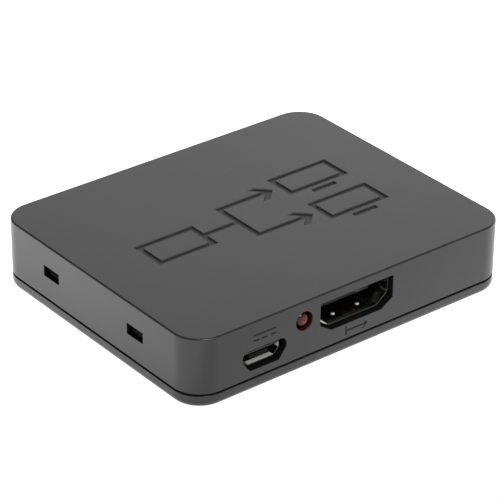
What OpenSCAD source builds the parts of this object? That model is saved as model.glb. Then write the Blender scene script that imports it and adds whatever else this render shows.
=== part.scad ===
// Video splitter box: one input, two outputs, snap-together plastic case.
// Millimetres, +Z up. The origin is the middle of the underside.
// The front, with the input, the power socket and the lamp, faces -Y.

/* [Case] */
// Width of the case, along the port faces
case_w = 64; // [62:0.5:72]
// Depth of the case, from the front face to the back face
case_d = 52; // [50:0.5:62]
// Corner radius in plan
corner_r = 5; // [3.5:0.1:6.5]
// Side wall of the upper cover
wall = 1.2; // [1.1:0.05:1.4]
// Thickness of the upper cover's roof
roof = 1.4; // [1:0.1:2]
// Thickness of the bottom cover's plate
plate = 1.3; // [1.2:0.1:1.8]
// Height of the bottom cover's outer rim
rim_h = 2.12; // [2:0.02:2.4]
// Height of the dark line between the two covers
shadow_h = 0.35; // [0.2:0.05:0.5]
// Depth of the dark line
shadow_d = 0.6; // [0.4:0.05:0.8]
// Rounding of the roof's edge
roof_round = 0.3; // [0.2:0.05:0.8]
// Rounding of the underside's edge
base_round = 1.1; // [0.6:0.05:1.2]
// Depth of the sunk marks
mark_depth = 0.25; // [0.15:0.05:0.4]
// Stroke of the mark on the roof
mark_stroke = 1.1; // [0.8:0.1:1.4]

/* [Joint between the covers] */
// Thickness of the locating lip inside the walls
lip_t = 0.9; // [0.7:0.05:1.1]
// Height of the lip above the rim
lip_rise = 1.2; // [0.8:0.1:1.4]
// Clearance between the lip and the wall
case_gap = 0.15; // [0.1:0.01:0.2]
// Width of a snap window
window_w = 4.1; // [3.5:0.1:5]
// Height of a snap window
window_h = 1.85; // [1.6:0.05:2.2]
// Height of a window's lower edge above the underside
window_z = 6.45; // [5.8:0.05:7]
// Distance between the two windows in a side
window_pitch = 22.4; // [18:0.2:26]
// Thickness of a snap tongue
tongue_t = 0.9; // [0.7:0.05:1]
// Clearance on each side of a tongue in its window
tongue_gap = 0.35; // [0.2:0.05:0.5]
// How far a tongue's nose stands out
nose_out = 0.55; // [0.4:0.05:0.8]
// Clearance above and below a nose in its window
nose_gap = 0.1; // [0.05:0.01:0.2]
// Free room behind a tongue, for it to bend into
tongue_room = 1.05; // [0.9:0.05:1.4]

/* [Board] */
// Thickness of the circuit board
board_t = 1.6; // [1:0.1:2]
// Clearance between the board and the lip
board_gap = 0.3; // [0.2:0.05:0.5]
// Height of the posts that carry the board
post_h = 1.15; // [1.1:0.05:1.6]
// Diameter of the posts
post_d = 3.4; // [3:0.1:4]
// Diameter of the locating pins
pin_d = 1.8; // [1.4:0.1:2]
// Radial clearance of a pin in the board
pin_gap = 0.1; // [0.05:0.01:0.2]
// Distance of the posts from the board's side edges
post_in_x = 3.2; // [2.5:0.1:4]
// Distance of the posts from the board's front and back edges
post_in_y = 6.45; // [6:0.05:7]
// Clearance around legs and leads in the board
leg_gap = 0.1; // [0.05:0.01:0.2]
// How far legs and leads stand out under the board
leg_out = 0.7; // [0.5:0.05:0.9]

/* [Video sockets] */
// Width of the mouth
mouth_w = 14; // [13.8:0.05:14.2]
// Height of the mouth
mouth_h = 4.55; // [4.4:0.05:4.8]
// Width of the mouth's floor between its slanted corners
mouth_flat = 10; // [9.5:0.1:10.5]
// Height of the slanted corners
mouth_corner = 1.75; // [1.4:0.05:2]
// Thickness of the shells' sheet metal
sheet = 0.25; // [0.2:0.01:0.3]
// Length of the shells
socket_len = 11; // [10.5:0.1:12]
// Height of the mouth's floor above the board
socket_lift = 1.6; // [1.5:0.05:1.8]
// How far the input's mouth is set back from the front face
input_set = 1; // [0.9:0.05:1.1]
// How far the outputs' mouths are set back from the back face
output_set = 2.1; // [2.1:0.05:2.6]
// Place of the input across the front
input_x = 0; // [-1:0.1:3]
// Distance of an output's middle from the side of the case
output_in = 18; // [17.5:0.1:20]
// Clearance beside a shell in its port
port_gap = 0.12; // [0.1:0.01:0.2]
// Clearance above a shell in its port
port_top = 0.1; // [0.05:0.01:0.15]
// Clearance below a shell in its port
port_low = 0.2; // [0.15:0.05:0.4]
// Extra width of a port's lower edge over the mouth's floor
port_flat = 0.4; // [0.3:0.05:0.6]
// Height of a port's slanted corners
port_corner = 1.4; // [1.2:0.05:1.6]
// Rounding of a port's upper corners
port_round = 0.3; // [0.15:0.05:0.5]

/* [Spring leaves] */
// Width of a leaf
leaf_w = 1.8; // [1.4:0.1:2.2]
// Distance between the two leaves of a pair
leaf_pitch = 5; // [4.4:0.1:6]
// Distance of a leaf's root from the mouth
leaf_root = 7; // [6.6:0.1:7.4]
// Distance of a leaf's free end from the mouth
leaf_tip = 1.2; // [1:0.05:1.4]
// Distance of a leaf's dimple from the mouth
dimple_y = 1.9; // [1.8:0.05:2.2]
// Radius of a dimple
dimple_r = 0.35; // [0.3:0.05:0.5]
// How far a dimple stands out of its leaf
dimple_out = 0.2; // [0.15:0.01:0.25]
// How far a leaf leans into the mouth at its dimple
leaf_lean = 0.1; // [0.06:0.02:0.2]
// Clearance beside a leaf in its slot
leaf_gap = 0.2; // [0.15:0.01:0.3]
// Clearance at a leaf's ends in its slot
leaf_end = 0.05; // [0.04:0.01:0.1]

/* [Socket tongues and contacts] */
// Distance of the tongue's end from the mouth
blade_tip = 2.7; // [2.3:0.05:2.9]
// Width of the tongue
blade_w = 10.9; // [10.6:0.1:11.2]
// Thickness of the tongue
blade_t = 1.3; // [1.1:0.05:1.5]
// Height of the tongue above the mouth's floor
blade_lift = 1.6; // [1.5:0.05:1.8]
// Clearance between a leaf's root and the insulator
block_gap = 0.3; // [0.2:0.05:0.5]
// Depth of the insulator's foot
foot_d = 2.5; // [2:0.1:2.8]
// Inset of the insulator's foot from the ends of the mouth's floor
foot_in = 0.2; // [0.15:0.01:0.25]
// Width of a contact
contact_w = 0.3; // [0.24:0.02:0.36]
// Thickness of a contact
contact_t = 0.15; // [0.1:0.01:0.2]
// Distance between contacts in a row
contact_pitch = 1; // [0.9:0.02:1.02]
// Length of a contact's foot on the board
contact_foot = 0.9; // [0.6:0.1:1.1]
// Width of a shell's leg
leg_w = 1; // [0.8:0.05:1.2]
// Distance of the front legs from the mouth
leg_front = 3.4; // [3.1:0.05:3.8]
// Distance of the back legs from the mouth
leg_back = 8.6; // [8.2:0.1:9]

/* [Power socket] */
// Place across the front
power_x = -18.35; // [-18.6:0.05:-18]
// How far its mouth is set back from the front face
power_set = 1.06; // [0.95:0.01:1.1]
// Width of its mouth
power_w = 6.9; // [6.8:0.05:7]
// Height of its mouth
power_h = 1.85; // [1.8:0.01:1.9]
// Width of its floor between the slanted corners
power_flat = 5; // [4.8:0.05:5.2]
// Height of its slanted corners
power_corner = 0.95; // [0.8:0.05:1.05]
// Length of its shell
power_len = 5; // [4.8:0.1:5.6]
// Width of its tongue
power_blade_w = 3.6; // [3.5:0.05:3.8]
// Thickness of its tongue
power_blade_t = 0.6; // [0.5:0.02:0.7]
// Height of its tongue above the floor
power_blade_lift = 0.55; // [0.5:0.01:0.6]
// Distance of its tongue's end from the mouth
power_blade_tip = 0.5; // [0.4:0.05:0.8]
// Length of its insulator's block
power_block = 1.7; // [1.4:0.05:2]
// Distance between its contacts
power_pitch = 0.65; // [0.6:0.01:0.68]
// Width of its contacts
power_contact_w = 0.36; // [0.3:0.01:0.4]
// Thickness of its contacts
power_contact_t = 0.12; // [0.1:0.01:0.15]
// Length of its contacts' feet
power_foot = 0.8; // [0.6:0.05:1]
// Width of its legs
power_leg_w = 0.8; // [0.6:0.05:0.9]
// Distance of its front legs from the mouth
power_leg_front = 2.1; // [2:0.05:2.3]
// Distance of its back legs from the mouth
power_leg_back = 3.9; // [3.8:0.05:4.1]
// Clearance beside it in its port
power_gap = 0.55; // [0.4:0.05:0.6]
// Clearance above it in its port
power_top = 0.9; // [0.7:0.05:1]
// Clearance below it in its port
power_low = 0.3; // [0.2:0.05:0.5]
// Extra width of its port's lower edge
power_port_flat = 0.6; // [0.5:0.05:0.8]
// Height of its port's slanted corners
power_port_corner = 1.9; // [1.7:0.05:2.1]
// Rounding of its port's upper corners
power_round = 1.1; // [0.8:0.05:1.2]

/* [Lamp] */
// Place across the front
lamp_x = -10.6; // [-11:0.01:-10.4]
// Height of its axis above the board
lamp_lift = 4.7; // [4.4:0.05:4.95]
// Diameter of the lens
lamp_d = 3; // [2.8:0.05:3.1]
// Radial clearance in its hole
lamp_gap = 0.125; // [0.1:0.005:0.2]
// Length from the dome's tip to the back of the flange
lamp_len = 5.4; // [5:0.1:6]
// Extra radius of the flange
lamp_flange = 0.2; // [0.1:0.05:0.25]
// Thickness of the flange
lamp_flange_t = 1; // [0.6:0.1:1.2]
// Side of the square leads
lead_t = 0.5; // [0.4:0.02:0.55]
// Distance between the leads
lead_pitch = 2.54; // [2:0.02:2.54]
// Length of a lead behind the lens
lead_back = 2; // [1.5:0.1:2.4]
// Length of the lead frame inside the lens
frame_len = 2.6; // [2:0.1:3]
// Half the space between the lead frame's two heads
frame_split = 0.12; // [0.08:0.01:0.16]

/* [Chips] */
// Side of the splitter chip's body
chip_side = 10; // [9:0.5:11]
// Height of the splitter chip's body
chip_h = 1.4; // [1.2:0.1:1.6]
// Leads on each side of the splitter chip
chip_leads = 16; // [12:1:16]
// Distance between the splitter chip's leads
chip_pitch = 0.5; // [0.48:0.01:0.54]
// Gap between a chip's body and the board
chip_lift = 0.1; // [0.05:0.01:0.2]
// Height at which leads leave a chip
lead_lift = 0.6; // [0.5:0.02:0.7]
// Width of the splitter chip's leads
chip_lead_w = 0.22; // [0.18:0.01:0.26]
// Thickness of the splitter chip's leads
chip_lead_t = 0.14; // [0.1:0.01:0.18]
// Reach of the splitter chip's leads
chip_reach = 1; // [0.8:0.05:1.2]
// Room kept between neighbouring parts
part_gap = 0.6; // [0.4:0.05:0.8]
// Length of the regulator's body
reg_l = 6.5; // [6.3:0.1:6.7]
// Width of the regulator's body
reg_w = 3.5; // [3.3:0.1:3.7]
// Height of the regulator's body
reg_h = 1.6; // [1.5:0.05:1.7]
// Distance between the regulator's leads
reg_pitch = 2.3; // [2.2:0.02:2.4]
// Width of the regulator's leads
reg_lead_w = 0.7; // [0.6:0.02:0.8]
// Width of the regulator's tab
reg_tab_w = 3; // [2.8:0.05:3.2]
// Thickness of the regulator's leads
reg_lead_t = 0.25; // [0.2:0.01:0.3]
// Reach of the regulator's leads
reg_reach = 1.7; // [1.5:0.05:1.8]
// Distance of the regulator's middle from the board's side edge
reg_in = 9.7; // [9:0.1:10]
// How far the regulator lies in front of the splitter chip's middle
reg_ahead = 6; // [5.8:0.1:6.2]
// Length of the memory chip's body
mem_l = 4.9; // [4.8:0.05:5]
// Width of the memory chip's body
mem_w = 3.9; // [3.8:0.05:4]
// Height of the memory chip's body
mem_h = 1.4; // [1.3:0.05:1.6]
// Distance between the memory chip's leads
mem_pitch = 1.27; // [1.2:0.01:1.27]
// Width of the memory chip's leads
mem_lead_w = 0.4; // [0.35:0.01:0.45]
// Thickness of the memory chip's leads
mem_lead_t = 0.2; // [0.16:0.01:0.24]
// Reach of the memory chip's leads
mem_reach = 1.05; // [1:0.01:1.1]
// Distance of the memory chip's middle from the board's side edge
mem_in_x = 12.7; // [12:0.1:13]
// Distance of the memory chip's middle from the board's front edge
mem_in_y = 8.4; // [8:0.1:8.8]
// Diameter of the bulk capacitors' cans
can_d = 5; // [4:0.1:5.2]
// Height of the cans
can_h = 4.5; // [4:0.1:5]
// Height of the cans' base plates
can_base_h = 0.9; // [0.7:0.1:1.1]
// How far a base plate stands out beside its can
can_base_out = 0.15; // [0.1:0.01:0.2]
// Distance of the cans' middles from the board's side edge
can_in = 6.2; // [6:0.1:6.5]
// Distance between the two cans
can_pitch = 6.5; // [6.2:0.1:6.8]
// How far the front can lies behind the splitter chip's middle
can_back = 1; // [0.9:0.1:1.2]
// Length of the crystal's can
crystal_l = 10.6; // [10:0.1:11]
// Width of the crystal's can
crystal_w = 4.2; // [4:0.1:4.6]
// Height of the crystal's can
crystal_h = 3.2; // [2.8:0.1:3.6]
// Distance of the crystal's middle from the board's side edge
crystal_in = 8.5; // [8:0.1:9]
// How far the crystal lies in front of the splitter chip's middle
crystal_ahead = 2.5; // [2.3:0.1:2.8]
// Side of the power coil
coil_side = 4.8; // [4.4:0.1:5.2]
// Height of the power coil
coil_h = 2; // [1.8:0.1:2.6]
// Distance of the coil's middle from the board's side edge
coil_in = 6.2; // [6:0.1:6.5]
// How far the coil lies behind the splitter chip's middle
coil_back = 6.5; // [6.2:0.1:6.8]
// Length of a small ceramic capacitor or resistor
small_l = 1.6; // [1.5:0.05:1.7]
// Width of a small ceramic capacitor or resistor
small_w = 0.8; // [0.7:0.05:0.85]
// Height of a small capacitor
ceramic_h = 0.8; // [0.7:0.05:0.9]
// Height of a small resistor
resistor_h = 0.5; // [0.4:0.05:0.6]
// Length of the metal ends of small parts
end_l = 0.35; // [0.25:0.01:0.4]
// Distance between small parts in a row
small_pitch = 3; // [2.8:0.05:3.2]
// Length of a surge array
array_l = 2; // [1.8:0.05:2.2]
// Width of a surge array
array_w = 1.2; // [1:0.05:1.3]
// Height of a surge array
array_h = 0.6; // [0.5:0.05:0.7]
// Distance between the two surge arrays behind a socket
array_pitch = 5.2; // [4.8:0.1:5.6]

/* [Hidden] */
$fn = 64;

// Headroom between the video sockets and the roof
headroom = 0.35;
// A little extra for cuts that run through
over = 0.5;

// Heights, from the underside up
board_z = plate + post_h;
board_top = board_z + board_t;
cover_z = rim_h + shadow_h;
ceiling = board_top + socket_lift + mouth_h + sheet + headroom;
case_h = ceiling + roof;
lip_top = rim_h + lip_rise;
window_top = window_z + window_h;
leg_low = -board_t - leg_out;

// Insets from the outside of the case
lip_in = wall + case_gap;
tray_in = lip_in + lip_t;

// The board and its posts
board_w = case_w - 2 * (lip_in + tongue_t + tongue_room);
board_d = case_d - 2 * (tray_in + board_gap);
post_x = board_w / 2 - post_in_x;
post_y = board_d / 2 - post_in_y;
board_r = 1.5;

// The faces of the case
front = -case_d / 2;
back = case_d / 2;

// Snap tongues
tongue_w = window_w - 2 * tongue_gap;
tongue_out = case_w / 2 - lip_in;
nose_low = window_z + nose_gap;
nose_top = window_top - nose_gap;
nose_flat = 0.2;
tongue_top = window_top + nose_gap;
notch_gap = 0.4;

// Video socket profile, from the board up
socket_top = socket_lift + mouth_h + sheet;
blade_low = socket_lift + blade_lift;
blade_top = blade_low + blade_t;
foot_w = mouth_flat - 2 * foot_in;
block_y = leaf_root + sheet / 2 + block_gap;
upper_count = 10;
lower_count = 9;
contact_start = blade_tip + 0.3;
leaf_angle = atan(leaf_lean / (leaf_root - dimple_y));

// Power socket profile, from the board up
power_floor = sheet;
power_roof = power_floor + power_h + sheet;
power_blade_low = power_floor + power_blade_lift;
power_block_y = power_len - power_block;
power_count = 5;

// Lamp
lamp_z = board_top + lamp_lift;
lamp_r = lamp_d / 2;
dome_y = front + lamp_r;
flange_y = front + lamp_len;
lead_y = flange_y + lead_back;
frame_y = flange_y - frame_len;
head_t = 0.6;
head_h = 1.1;

// The room between the contacts' feet of the input and of the outputs, and the chip in its middle
input_feet = front + input_set + socket_len + contact_foot;
output_feet = back - output_set - socket_len - contact_foot;
output_x = case_w / 2 - output_in;
chip_y = (input_feet + output_feet) / 2;
chip_half = chip_side / 2 + chip_reach;

// Places of the larger parts on the board
reg_place = [reg_in - board_w / 2, chip_y - reg_ahead];
mem_place = [board_w / 2 - mem_in_x, mem_in_y - board_d / 2];
can_places = [for (k = [0, 1]) [can_in - board_w / 2, chip_y + can_back + k * can_pitch]];
crystal_place = [board_w / 2 - crystal_in, chip_y - crystal_ahead];
coil_place = [board_w / 2 - coil_in, chip_y + coil_back];

// Small parts: [place across, place front to back, quarter turns]
ceramic_size = [small_l, small_w, ceramic_h];
resistor_size = [small_l, small_w, resistor_h];
array_size = [array_l, array_w, array_h];
row_out = chip_half + part_gap + small_w / 2;
reg_row = reg_place.y - reg_w / 2 - reg_reach - part_gap - small_l / 2;
mem_side = mem_l / 2 + part_gap + small_w / 2;
ceramic_places = [
    for (s = [-1, 1], k = [-1:1]) [s * row_out, chip_y + k * small_pitch, 1],
    for (k = [-1.5:1.5]) [k * small_pitch, chip_y + row_out, 0],
    for (k = [-1:1]) [reg_place.x + k * small_pitch, reg_row, 1],
    [mem_place.x - mem_side, mem_place.y, 1]
];
resistor_places = [
    for (k = [-1.5:1.5]) [k * small_pitch, chip_y - row_out, 0],
    for (s = [-1, 1], k = [0, 1]) [s * (row_out + small_pitch), chip_y + k * small_pitch, 0],
    [mem_place.x + mem_side, mem_place.y, 1],
    [lamp_x, lead_y + part_gap + small_w / 2, 0]
];
array_places = [
    for (s = [-1, 1]) [input_x + s * array_pitch / 2, input_feet + part_gap + array_w / 2, 0],
    for (o = [-1, 1], s = [-1, 1])
        [o * output_x + s * array_pitch / 2, output_feet - part_gap - array_w / 2, 0]
];

// Rounded rectangle with true arcs at the corners
module plan(w, d, r) {
    square([w - 2 * r, d], center = true);
    square([w, d - 2 * r], center = true);
    for (sx = [-1, 1], sy = [-1, 1])
        translate([sx * (w / 2 - r), sy * (d / 2 - r)])
            circle(r = r);
}

// Upright section of a block's edge, from x = 0 out to reach, with its lower or upper corner rounded
module edge_section(reach, h, low, high) {
    polygon([
        [0, 0], [reach - low, 0], [reach, low],
        [reach, h - high], [reach - high, h], [0, h]
    ]);
    if (low > 0)
        translate([reach - low, low])
            quarter_disc(low, -1);
    if (high > 0)
        translate([reach - high, h - high])
            quarter_disc(high, 1);
}

// Quarter of a disc to the right of its centre, above it (way = 1) or below it (way = -1)
module quarter_disc(r, way) {
    intersection() {
        circle(r = r);
        translate([0, way > 0 ? 0 : -r])
            square(r);
    }
}

// Block with round corners in plan and rounded lower or upper edges
module soft_block(w, d, r, h, low, high) {
    inner_w = w - 2 * r;
    inner_d = d - 2 * r;
    translate([-inner_w / 2, -inner_d / 2, 0])
        cube([inner_w, inner_d, h]);
    for (a = [0, 180]) {
        rotate(a)
            translate([inner_w / 2, inner_d / 2, 0])
                rotate([90, 0, 0])
                    linear_extrude(inner_d)
                        edge_section(r, h, low, high);
        rotate(a)
            translate([-inner_w / 2, inner_d / 2, 0])
                rotate([90, 0, 90])
                    linear_extrude(inner_w)
                        edge_section(r, h, low, high);
    }
    for (sx = [0, 1], sy = [0, 1])
        mirror([sx, 0, 0])
            mirror([0, sy, 0])
                translate([inner_w / 2, inner_d / 2, 0])
                    rotate_extrude(angle = 90)
                        edge_section(r, h, low, high);
}

// Extrudes an upright outline towards the back, from y = 0
module run_back(len) {
    translate([0, len, 0])
        rotate([90, 0, 0])
            linear_extrude(len)
                children();
}

// Socket outline with slanted lower corners, its floor at z
module socket_outline(w, h, flat, corner, z) {
    polygon([
        [-flat / 2, z], [flat / 2, z], [w / 2, z + corner],
        [w / 2, z + h], [-w / 2, z + h], [-w / 2, z + corner]
    ]);
}

// The same outline grown by the sheet's thickness, with square-cut corners
module socket_outside(w, h, flat, corner, z) {
    slant = atan2(corner, (w - flat) / 2);
    out_flat = flat + 2 * sheet * tan(slant / 2);
    rise = corner + sheet - sheet * tan((90 - slant) / 2);
    socket_outline(w + 2 * sheet, h + 2 * sheet, out_flat, rise, z - sheet);
}

// Port outline: a socket outline with rounded upper corners
module port_outline(w, h, flat, corner, r) {
    polygon([
        [-flat / 2, 0], [flat / 2, 0], [w / 2, corner], [w / 2, h - r], [w / 2 - r, h],
        [-w / 2 + r, h], [-w / 2, h - r], [-w / 2, corner]
    ]);
    for (s = [-1, 1])
        translate([s * (w / 2 - r), h - r])
            circle(r = r);
}

// Where the sockets stand, mouths outwards, on the board
module at_input() {
    translate([input_x, front + input_set, board_top])
        children();
}
module at_output(side) {
    translate([side * output_x, back - output_set, board_top])
        rotate(180)
            children();
}
module at_power() {
    translate([power_x, front + power_set, board_top])
        children();
}

// Repeats at the four posts
module at_posts() {
    for (sx = [-1, 1], sy = [-1, 1])
        translate([sx * post_x, sy * post_y, 0])
            children();
}

// Repeats at the four snap windows, with +X outwards
module at_windows() {
    for (a = [0, 180], sy = [-1, 1])
        rotate(a)
            translate([0, sy * window_pitch / 2, 0])
                children();
}

// Cuts through a face of the upper cover
module video_port() {
    port_h = mouth_h + 2 * sheet + port_top + port_low;
    translate([0, -over - wall, socket_lift - sheet - port_low])
        run_back(2 * wall + 2 * over)
            port_outline(
                mouth_w + 2 * sheet + 2 * port_gap, port_h,
                mouth_flat + port_flat, port_corner, port_round
            );
}
module power_port() {
    port_h = power_roof + power_top + power_low;
    translate([0, -over - wall, -power_low])
        run_back(2 * wall + 2 * over)
            port_outline(
                power_w + 2 * sheet + 2 * power_gap, port_h,
                power_flat + power_port_flat, power_port_corner, power_round
            );
}

// Frame of a box seen flat, with square corners
module box_frame(w, h, stroke) {
    difference() {
        square([w, h], center = true);
        square([w - 2 * stroke, h - 2 * stroke], center = true);
    }
}

// Open arrow head with its point at the origin, pointing along +X, its strokes at right angles
module arrow_head(half, stroke) {
    run = stroke * sqrt(2);
    polygon([
        [0, 0], [-half, half], [-half - run, half],
        [-run, 0], [-half - run, -half], [-half, -half]
    ]);
}

// Mark on the roof: one box feeding two screens
module roof_mark() {
    branch = 5.2;
    fork = -2.5;
    arrow = 8.2;
    arrow_half = 2.2;
    screen_x = 15.6;
    screen = [12.4, 6.4];
    source = [11.6, 7];
    stand_w = 5;
    translate([-screen_x, 0])
        box_frame(source.x, source.y, mark_stroke);
    translate([source.x / 2 - screen_x, -mark_stroke / 2])
        square([fork + screen_x - source.x / 2, mark_stroke]);
    translate([fork - mark_stroke, -branch - mark_stroke / 2])
        square([mark_stroke, 2 * branch + mark_stroke]);
    for (s = [-1, 1])
        translate([0, s * branch]) {
            translate([fork - over, -mark_stroke / 2])
                square([arrow - mark_stroke - fork + over, mark_stroke]);
            translate([arrow, 0])
                arrow_head(arrow_half, mark_stroke);
            translate([screen_x, 0])
                box_frame(screen.x, screen.y, mark_stroke);
            translate([screen_x, -screen.y / 2 - mark_stroke])
                square([stand_w, mark_stroke], center = true);
        }
}

// Mark over the power socket: a bar over three dashes
module power_mark() {
    length = 4.4;
    stroke = 0.36;
    dash = 1.1;
    translate([0, 0.5])
        square([length, stroke], center = true);
    for (k = [-1:1])
        translate([k * (length - dash) / 2, -0.4])
            square([dash, stroke], center = true);
}

// Mark under the input: an arrow going in
module input_mark() {
    length = 4.6;
    stroke = 0.36;
    head = 1.5;
    translate([-length / 2, -stroke / 2])
        square([length - stroke, stroke]);
    translate([length / 2, 0])
        arrow_head(head / 2, stroke);
    translate([-length / 2, -head / 2])
        square([stroke, head]);
}

// Marks under the outputs: one bar, two bars
module output_mark(count) {
    step = 0.9;
    for (k = [0:count - 1])
        translate([(k - (count - 1) / 2) * step, 0])
            square([0.4, 1.3], center = true);
}

// Sinks an outline into the front face, read from the front
module sunk_in_front(x, z) {
    translate([x, front - over, z])
        run_back(mark_depth + over)
            children();
}

// Upper cover
module top_cover() {
    power_mark_z = board_top + power_roof + power_top + 1.9;
    low_mark_z = (board_top + socket_lift - sheet - port_low + cover_z) / 2;
    color([0.20, 0.20, 0.20])
        difference() {
            union() {
                translate([0, 0, cover_z])
                    soft_block(case_w, case_d, corner_r, case_h - cover_z, 0, roof_round);
                translate([0, 0, rim_h])
                    linear_extrude(shadow_h + over)
                        plan(case_w - 2 * shadow_d, case_d - 2 * shadow_d, corner_r - shadow_d);
            }
            difference() {
                translate([0, 0, rim_h - over])
                    linear_extrude(ceiling - rim_h + over)
                        plan(case_w - 2 * wall, case_d - 2 * wall, corner_r - wall);
                at_posts()
                    translate([0, 0, board_top])
                        cylinder(d = post_d, h = case_h - board_top);
            }
            translate([input_x, front + wall / 2, board_top])
                video_port();
            for (s = [-1, 1])
                translate([s * output_x, back - wall / 2, board_top])
                    video_port();
            translate([power_x, front + wall / 2, board_top])
                power_port();
            translate([lamp_x, front - over, lamp_z])
                rotate([-90, 0, 0])
                    cylinder(r = lamp_r + lamp_gap, h = wall + 2 * over);
            at_windows()
                translate([case_w / 2 - wall - over, -window_w / 2, window_z])
                    cube([wall + 2 * over, window_w, window_h]);
            translate([0, 0, case_h - mark_depth])
                linear_extrude(mark_depth + over)
                    roof_mark();
            sunk_in_front(power_x, power_mark_z)
                power_mark();
            sunk_in_front(input_x, low_mark_z)
                input_mark();
            for (k = [1, 2])
                rotate(180)
                    sunk_in_front((2 * k - 3) * output_x, low_mark_z)
                        output_mark(k);
        }
}

// Bottom cover: plate, rim, locating lip, board posts and pins
module bottom_cover() {
    color([0.19, 0.19, 0.19]) {
        difference() {
            union() {
                soft_block(case_w, case_d, corner_r, rim_h, base_round, 0);
                translate([0, 0, plate])
                    linear_extrude(lip_top - plate)
                        plan(case_w - 2 * lip_in, case_d - 2 * lip_in, corner_r - lip_in);
            }
            translate([0, 0, plate])
                linear_extrude(lip_top)
                    plan(case_w - 2 * tray_in, case_d - 2 * tray_in, corner_r - tray_in);
            at_windows()
                translate([tongue_out - tongue_t - over, -tongue_w / 2 - notch_gap, plate])
                    cube([tongue_t + over, tongue_w + 2 * notch_gap, lip_top]);
        }
        at_posts() {
            translate([0, 0, plate])
                cylinder(d = post_d, h = post_h);
            translate([0, 0, plate])
                cylinder(d = pin_d, h = post_h + board_t - leg_gap);
        }
    }
}

// Snap tongues of the bottom cover: upright leaves whose noses sit in the windows
module snap_tongues() {
    x1 = tongue_out;
    x0 = x1 - tongue_t;
    color([0.19, 0.19, 0.19])
        at_windows()
            translate([0, -tongue_w / 2, 0])
                run_back(tongue_w)
                    polygon([
                        [x0, plate], [x1, plate], [x1, nose_low], [x1 + nose_out, nose_low],
                        [x1 + nose_out, nose_low + nose_flat], [x1, nose_top],
                        [x1, tongue_top], [x0, tongue_top]
                    ]);
}

// Circuit board, with holes for the pins and slots for legs and leads
module circuit_board() {
    color([0.05, 0.28, 0.14])
        difference() {
            translate([0, 0, board_z])
                linear_extrude(board_t)
                    plan(board_w, board_d, board_r);
            at_posts()
                translate([0, 0, board_z - over])
                    cylinder(d = pin_d + 2 * pin_gap, h = board_t + 2 * over);
            at_input()
                video_legs(leg_gap);
            for (s = [-1, 1])
                at_output(s)
                    video_legs(leg_gap);
            at_power()
                power_legs(leg_gap);
            for (s = [-1, 1])
                translate([lamp_x + s * lead_pitch / 2, lead_y - lead_t / 2, board_z - over])
                    cylinder(d = lead_t * sqrt(2) + 2 * leg_gap, h = board_t + 2 * over);
        }
}

// Legs of a video socket, through the board, grown by a clearance for its slots
module video_legs(gap) {
    half = mouth_w / 2;
    for (s = [0, 1], y = [leg_front, leg_back])
        mirror([s, 0, 0])
            translate([half - gap, y - gap, leg_low - gap])
                cube([sheet + 2 * gap, leg_w + 2 * gap, socket_lift + mouth_corner - leg_low + gap]);
}

// Slots in the shell around the leaves of one row
module leaf_slots(z) {
    for (s = [-1, 1])
        translate([s * leaf_pitch / 2 - leaf_w / 2 - leaf_gap, leaf_tip - 2 * leaf_gap, z - over])
            cube([
                leaf_w + 2 * leaf_gap,
                leaf_root + sheet / 2 + leaf_end - leaf_tip + 2 * leaf_gap,
                sheet + 2 * over
            ]);
}

// Folded steel shell of a video socket
module video_shell() {
    color([0.62, 0.62, 0.63])
        difference() {
            union() {
                difference() {
                    run_back(socket_len)
                        socket_outside(mouth_w, mouth_h, mouth_flat, mouth_corner, socket_lift);
                    translate([0, -over, 0])
                        run_back(socket_len + 2 * over)
                            socket_outline(mouth_w, mouth_h, mouth_flat, mouth_corner, socket_lift);
                }
                video_legs(0);
            }
            leaf_slots(socket_lift - sheet);
            leaf_slots(socket_lift + mouth_h);
            translate([-foot_w / 2 - leg_gap, socket_len - foot_d - leg_gap, socket_lift - sheet - over])
                cube([foot_w + 2 * leg_gap, foot_d + over, sheet + over]);
        }
}

// Contact blanks of a video socket: strips along the tongue, folded down to the board behind
module video_contacts() {
    color([0.83, 0.66, 0.30]) {
        for (k = [0:upper_count - 1])
            translate([(k - (upper_count - 1) / 2) * contact_pitch, 0, 0])
                contact(blade_top, contact_start, socket_len, contact_w, contact_t, contact_foot);
        for (k = [0:lower_count - 1])
            translate([(k - (lower_count - 1) / 2) * contact_pitch, 0, 0])
                contact(
                    blade_low - contact_t, contact_start, socket_len,
                    contact_w, contact_t, contact_foot
                );
    }
}

// One contact, its strip's underside at z
module contact(z, y0, y1, w, t, foot) {
    translate([-w / 2, 0, 0])
        rotate([90, 0, 90])
            linear_extrude(w)
                polygon([
                    [y0, z], [y1, z], [y1, 0], [y1 + foot, 0], [y1 + foot, t],
                    [y1 + t, t], [y1 + t, z + t], [y0, z + t]
                ]);
}

// Moulded insulator of a video socket: tongue, block and foot
module video_insulator() {
    color([0.06, 0.06, 0.06])
        difference() {
            union() {
                translate([0, block_y, 0])
                    run_back(socket_len - block_y)
                        socket_outline(mouth_w, mouth_h, mouth_flat, mouth_corner, socket_lift);
                translate([-blade_w / 2, blade_tip, blade_low])
                    cube([blade_w, socket_len - blade_tip, blade_t]);
                translate([-foot_w / 2, socket_len - foot_d, 0])
                    cube([foot_w, foot_d, blade_low]);
            }
            video_contacts();
        }
}

// Pair of spring leaves lanced out of the floor (side = 1) or the roof (side = -1) of a shell
module video_leaves(side) {
    middle = socket_lift + mouth_h / 2;
    color([0.72, 0.72, 0.72])
        translate([0, 0, middle])
            mirror([0, 0, side > 0 ? 0 : 1])
                translate([0, leaf_root, -mouth_h / 2 - sheet / 2])
                    rotate([-leaf_angle, 0, 0])
                        for (s = [-1, 1])
                            translate([s * leaf_pitch / 2, 0, 0])
                                spring_leaf();
}

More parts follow.
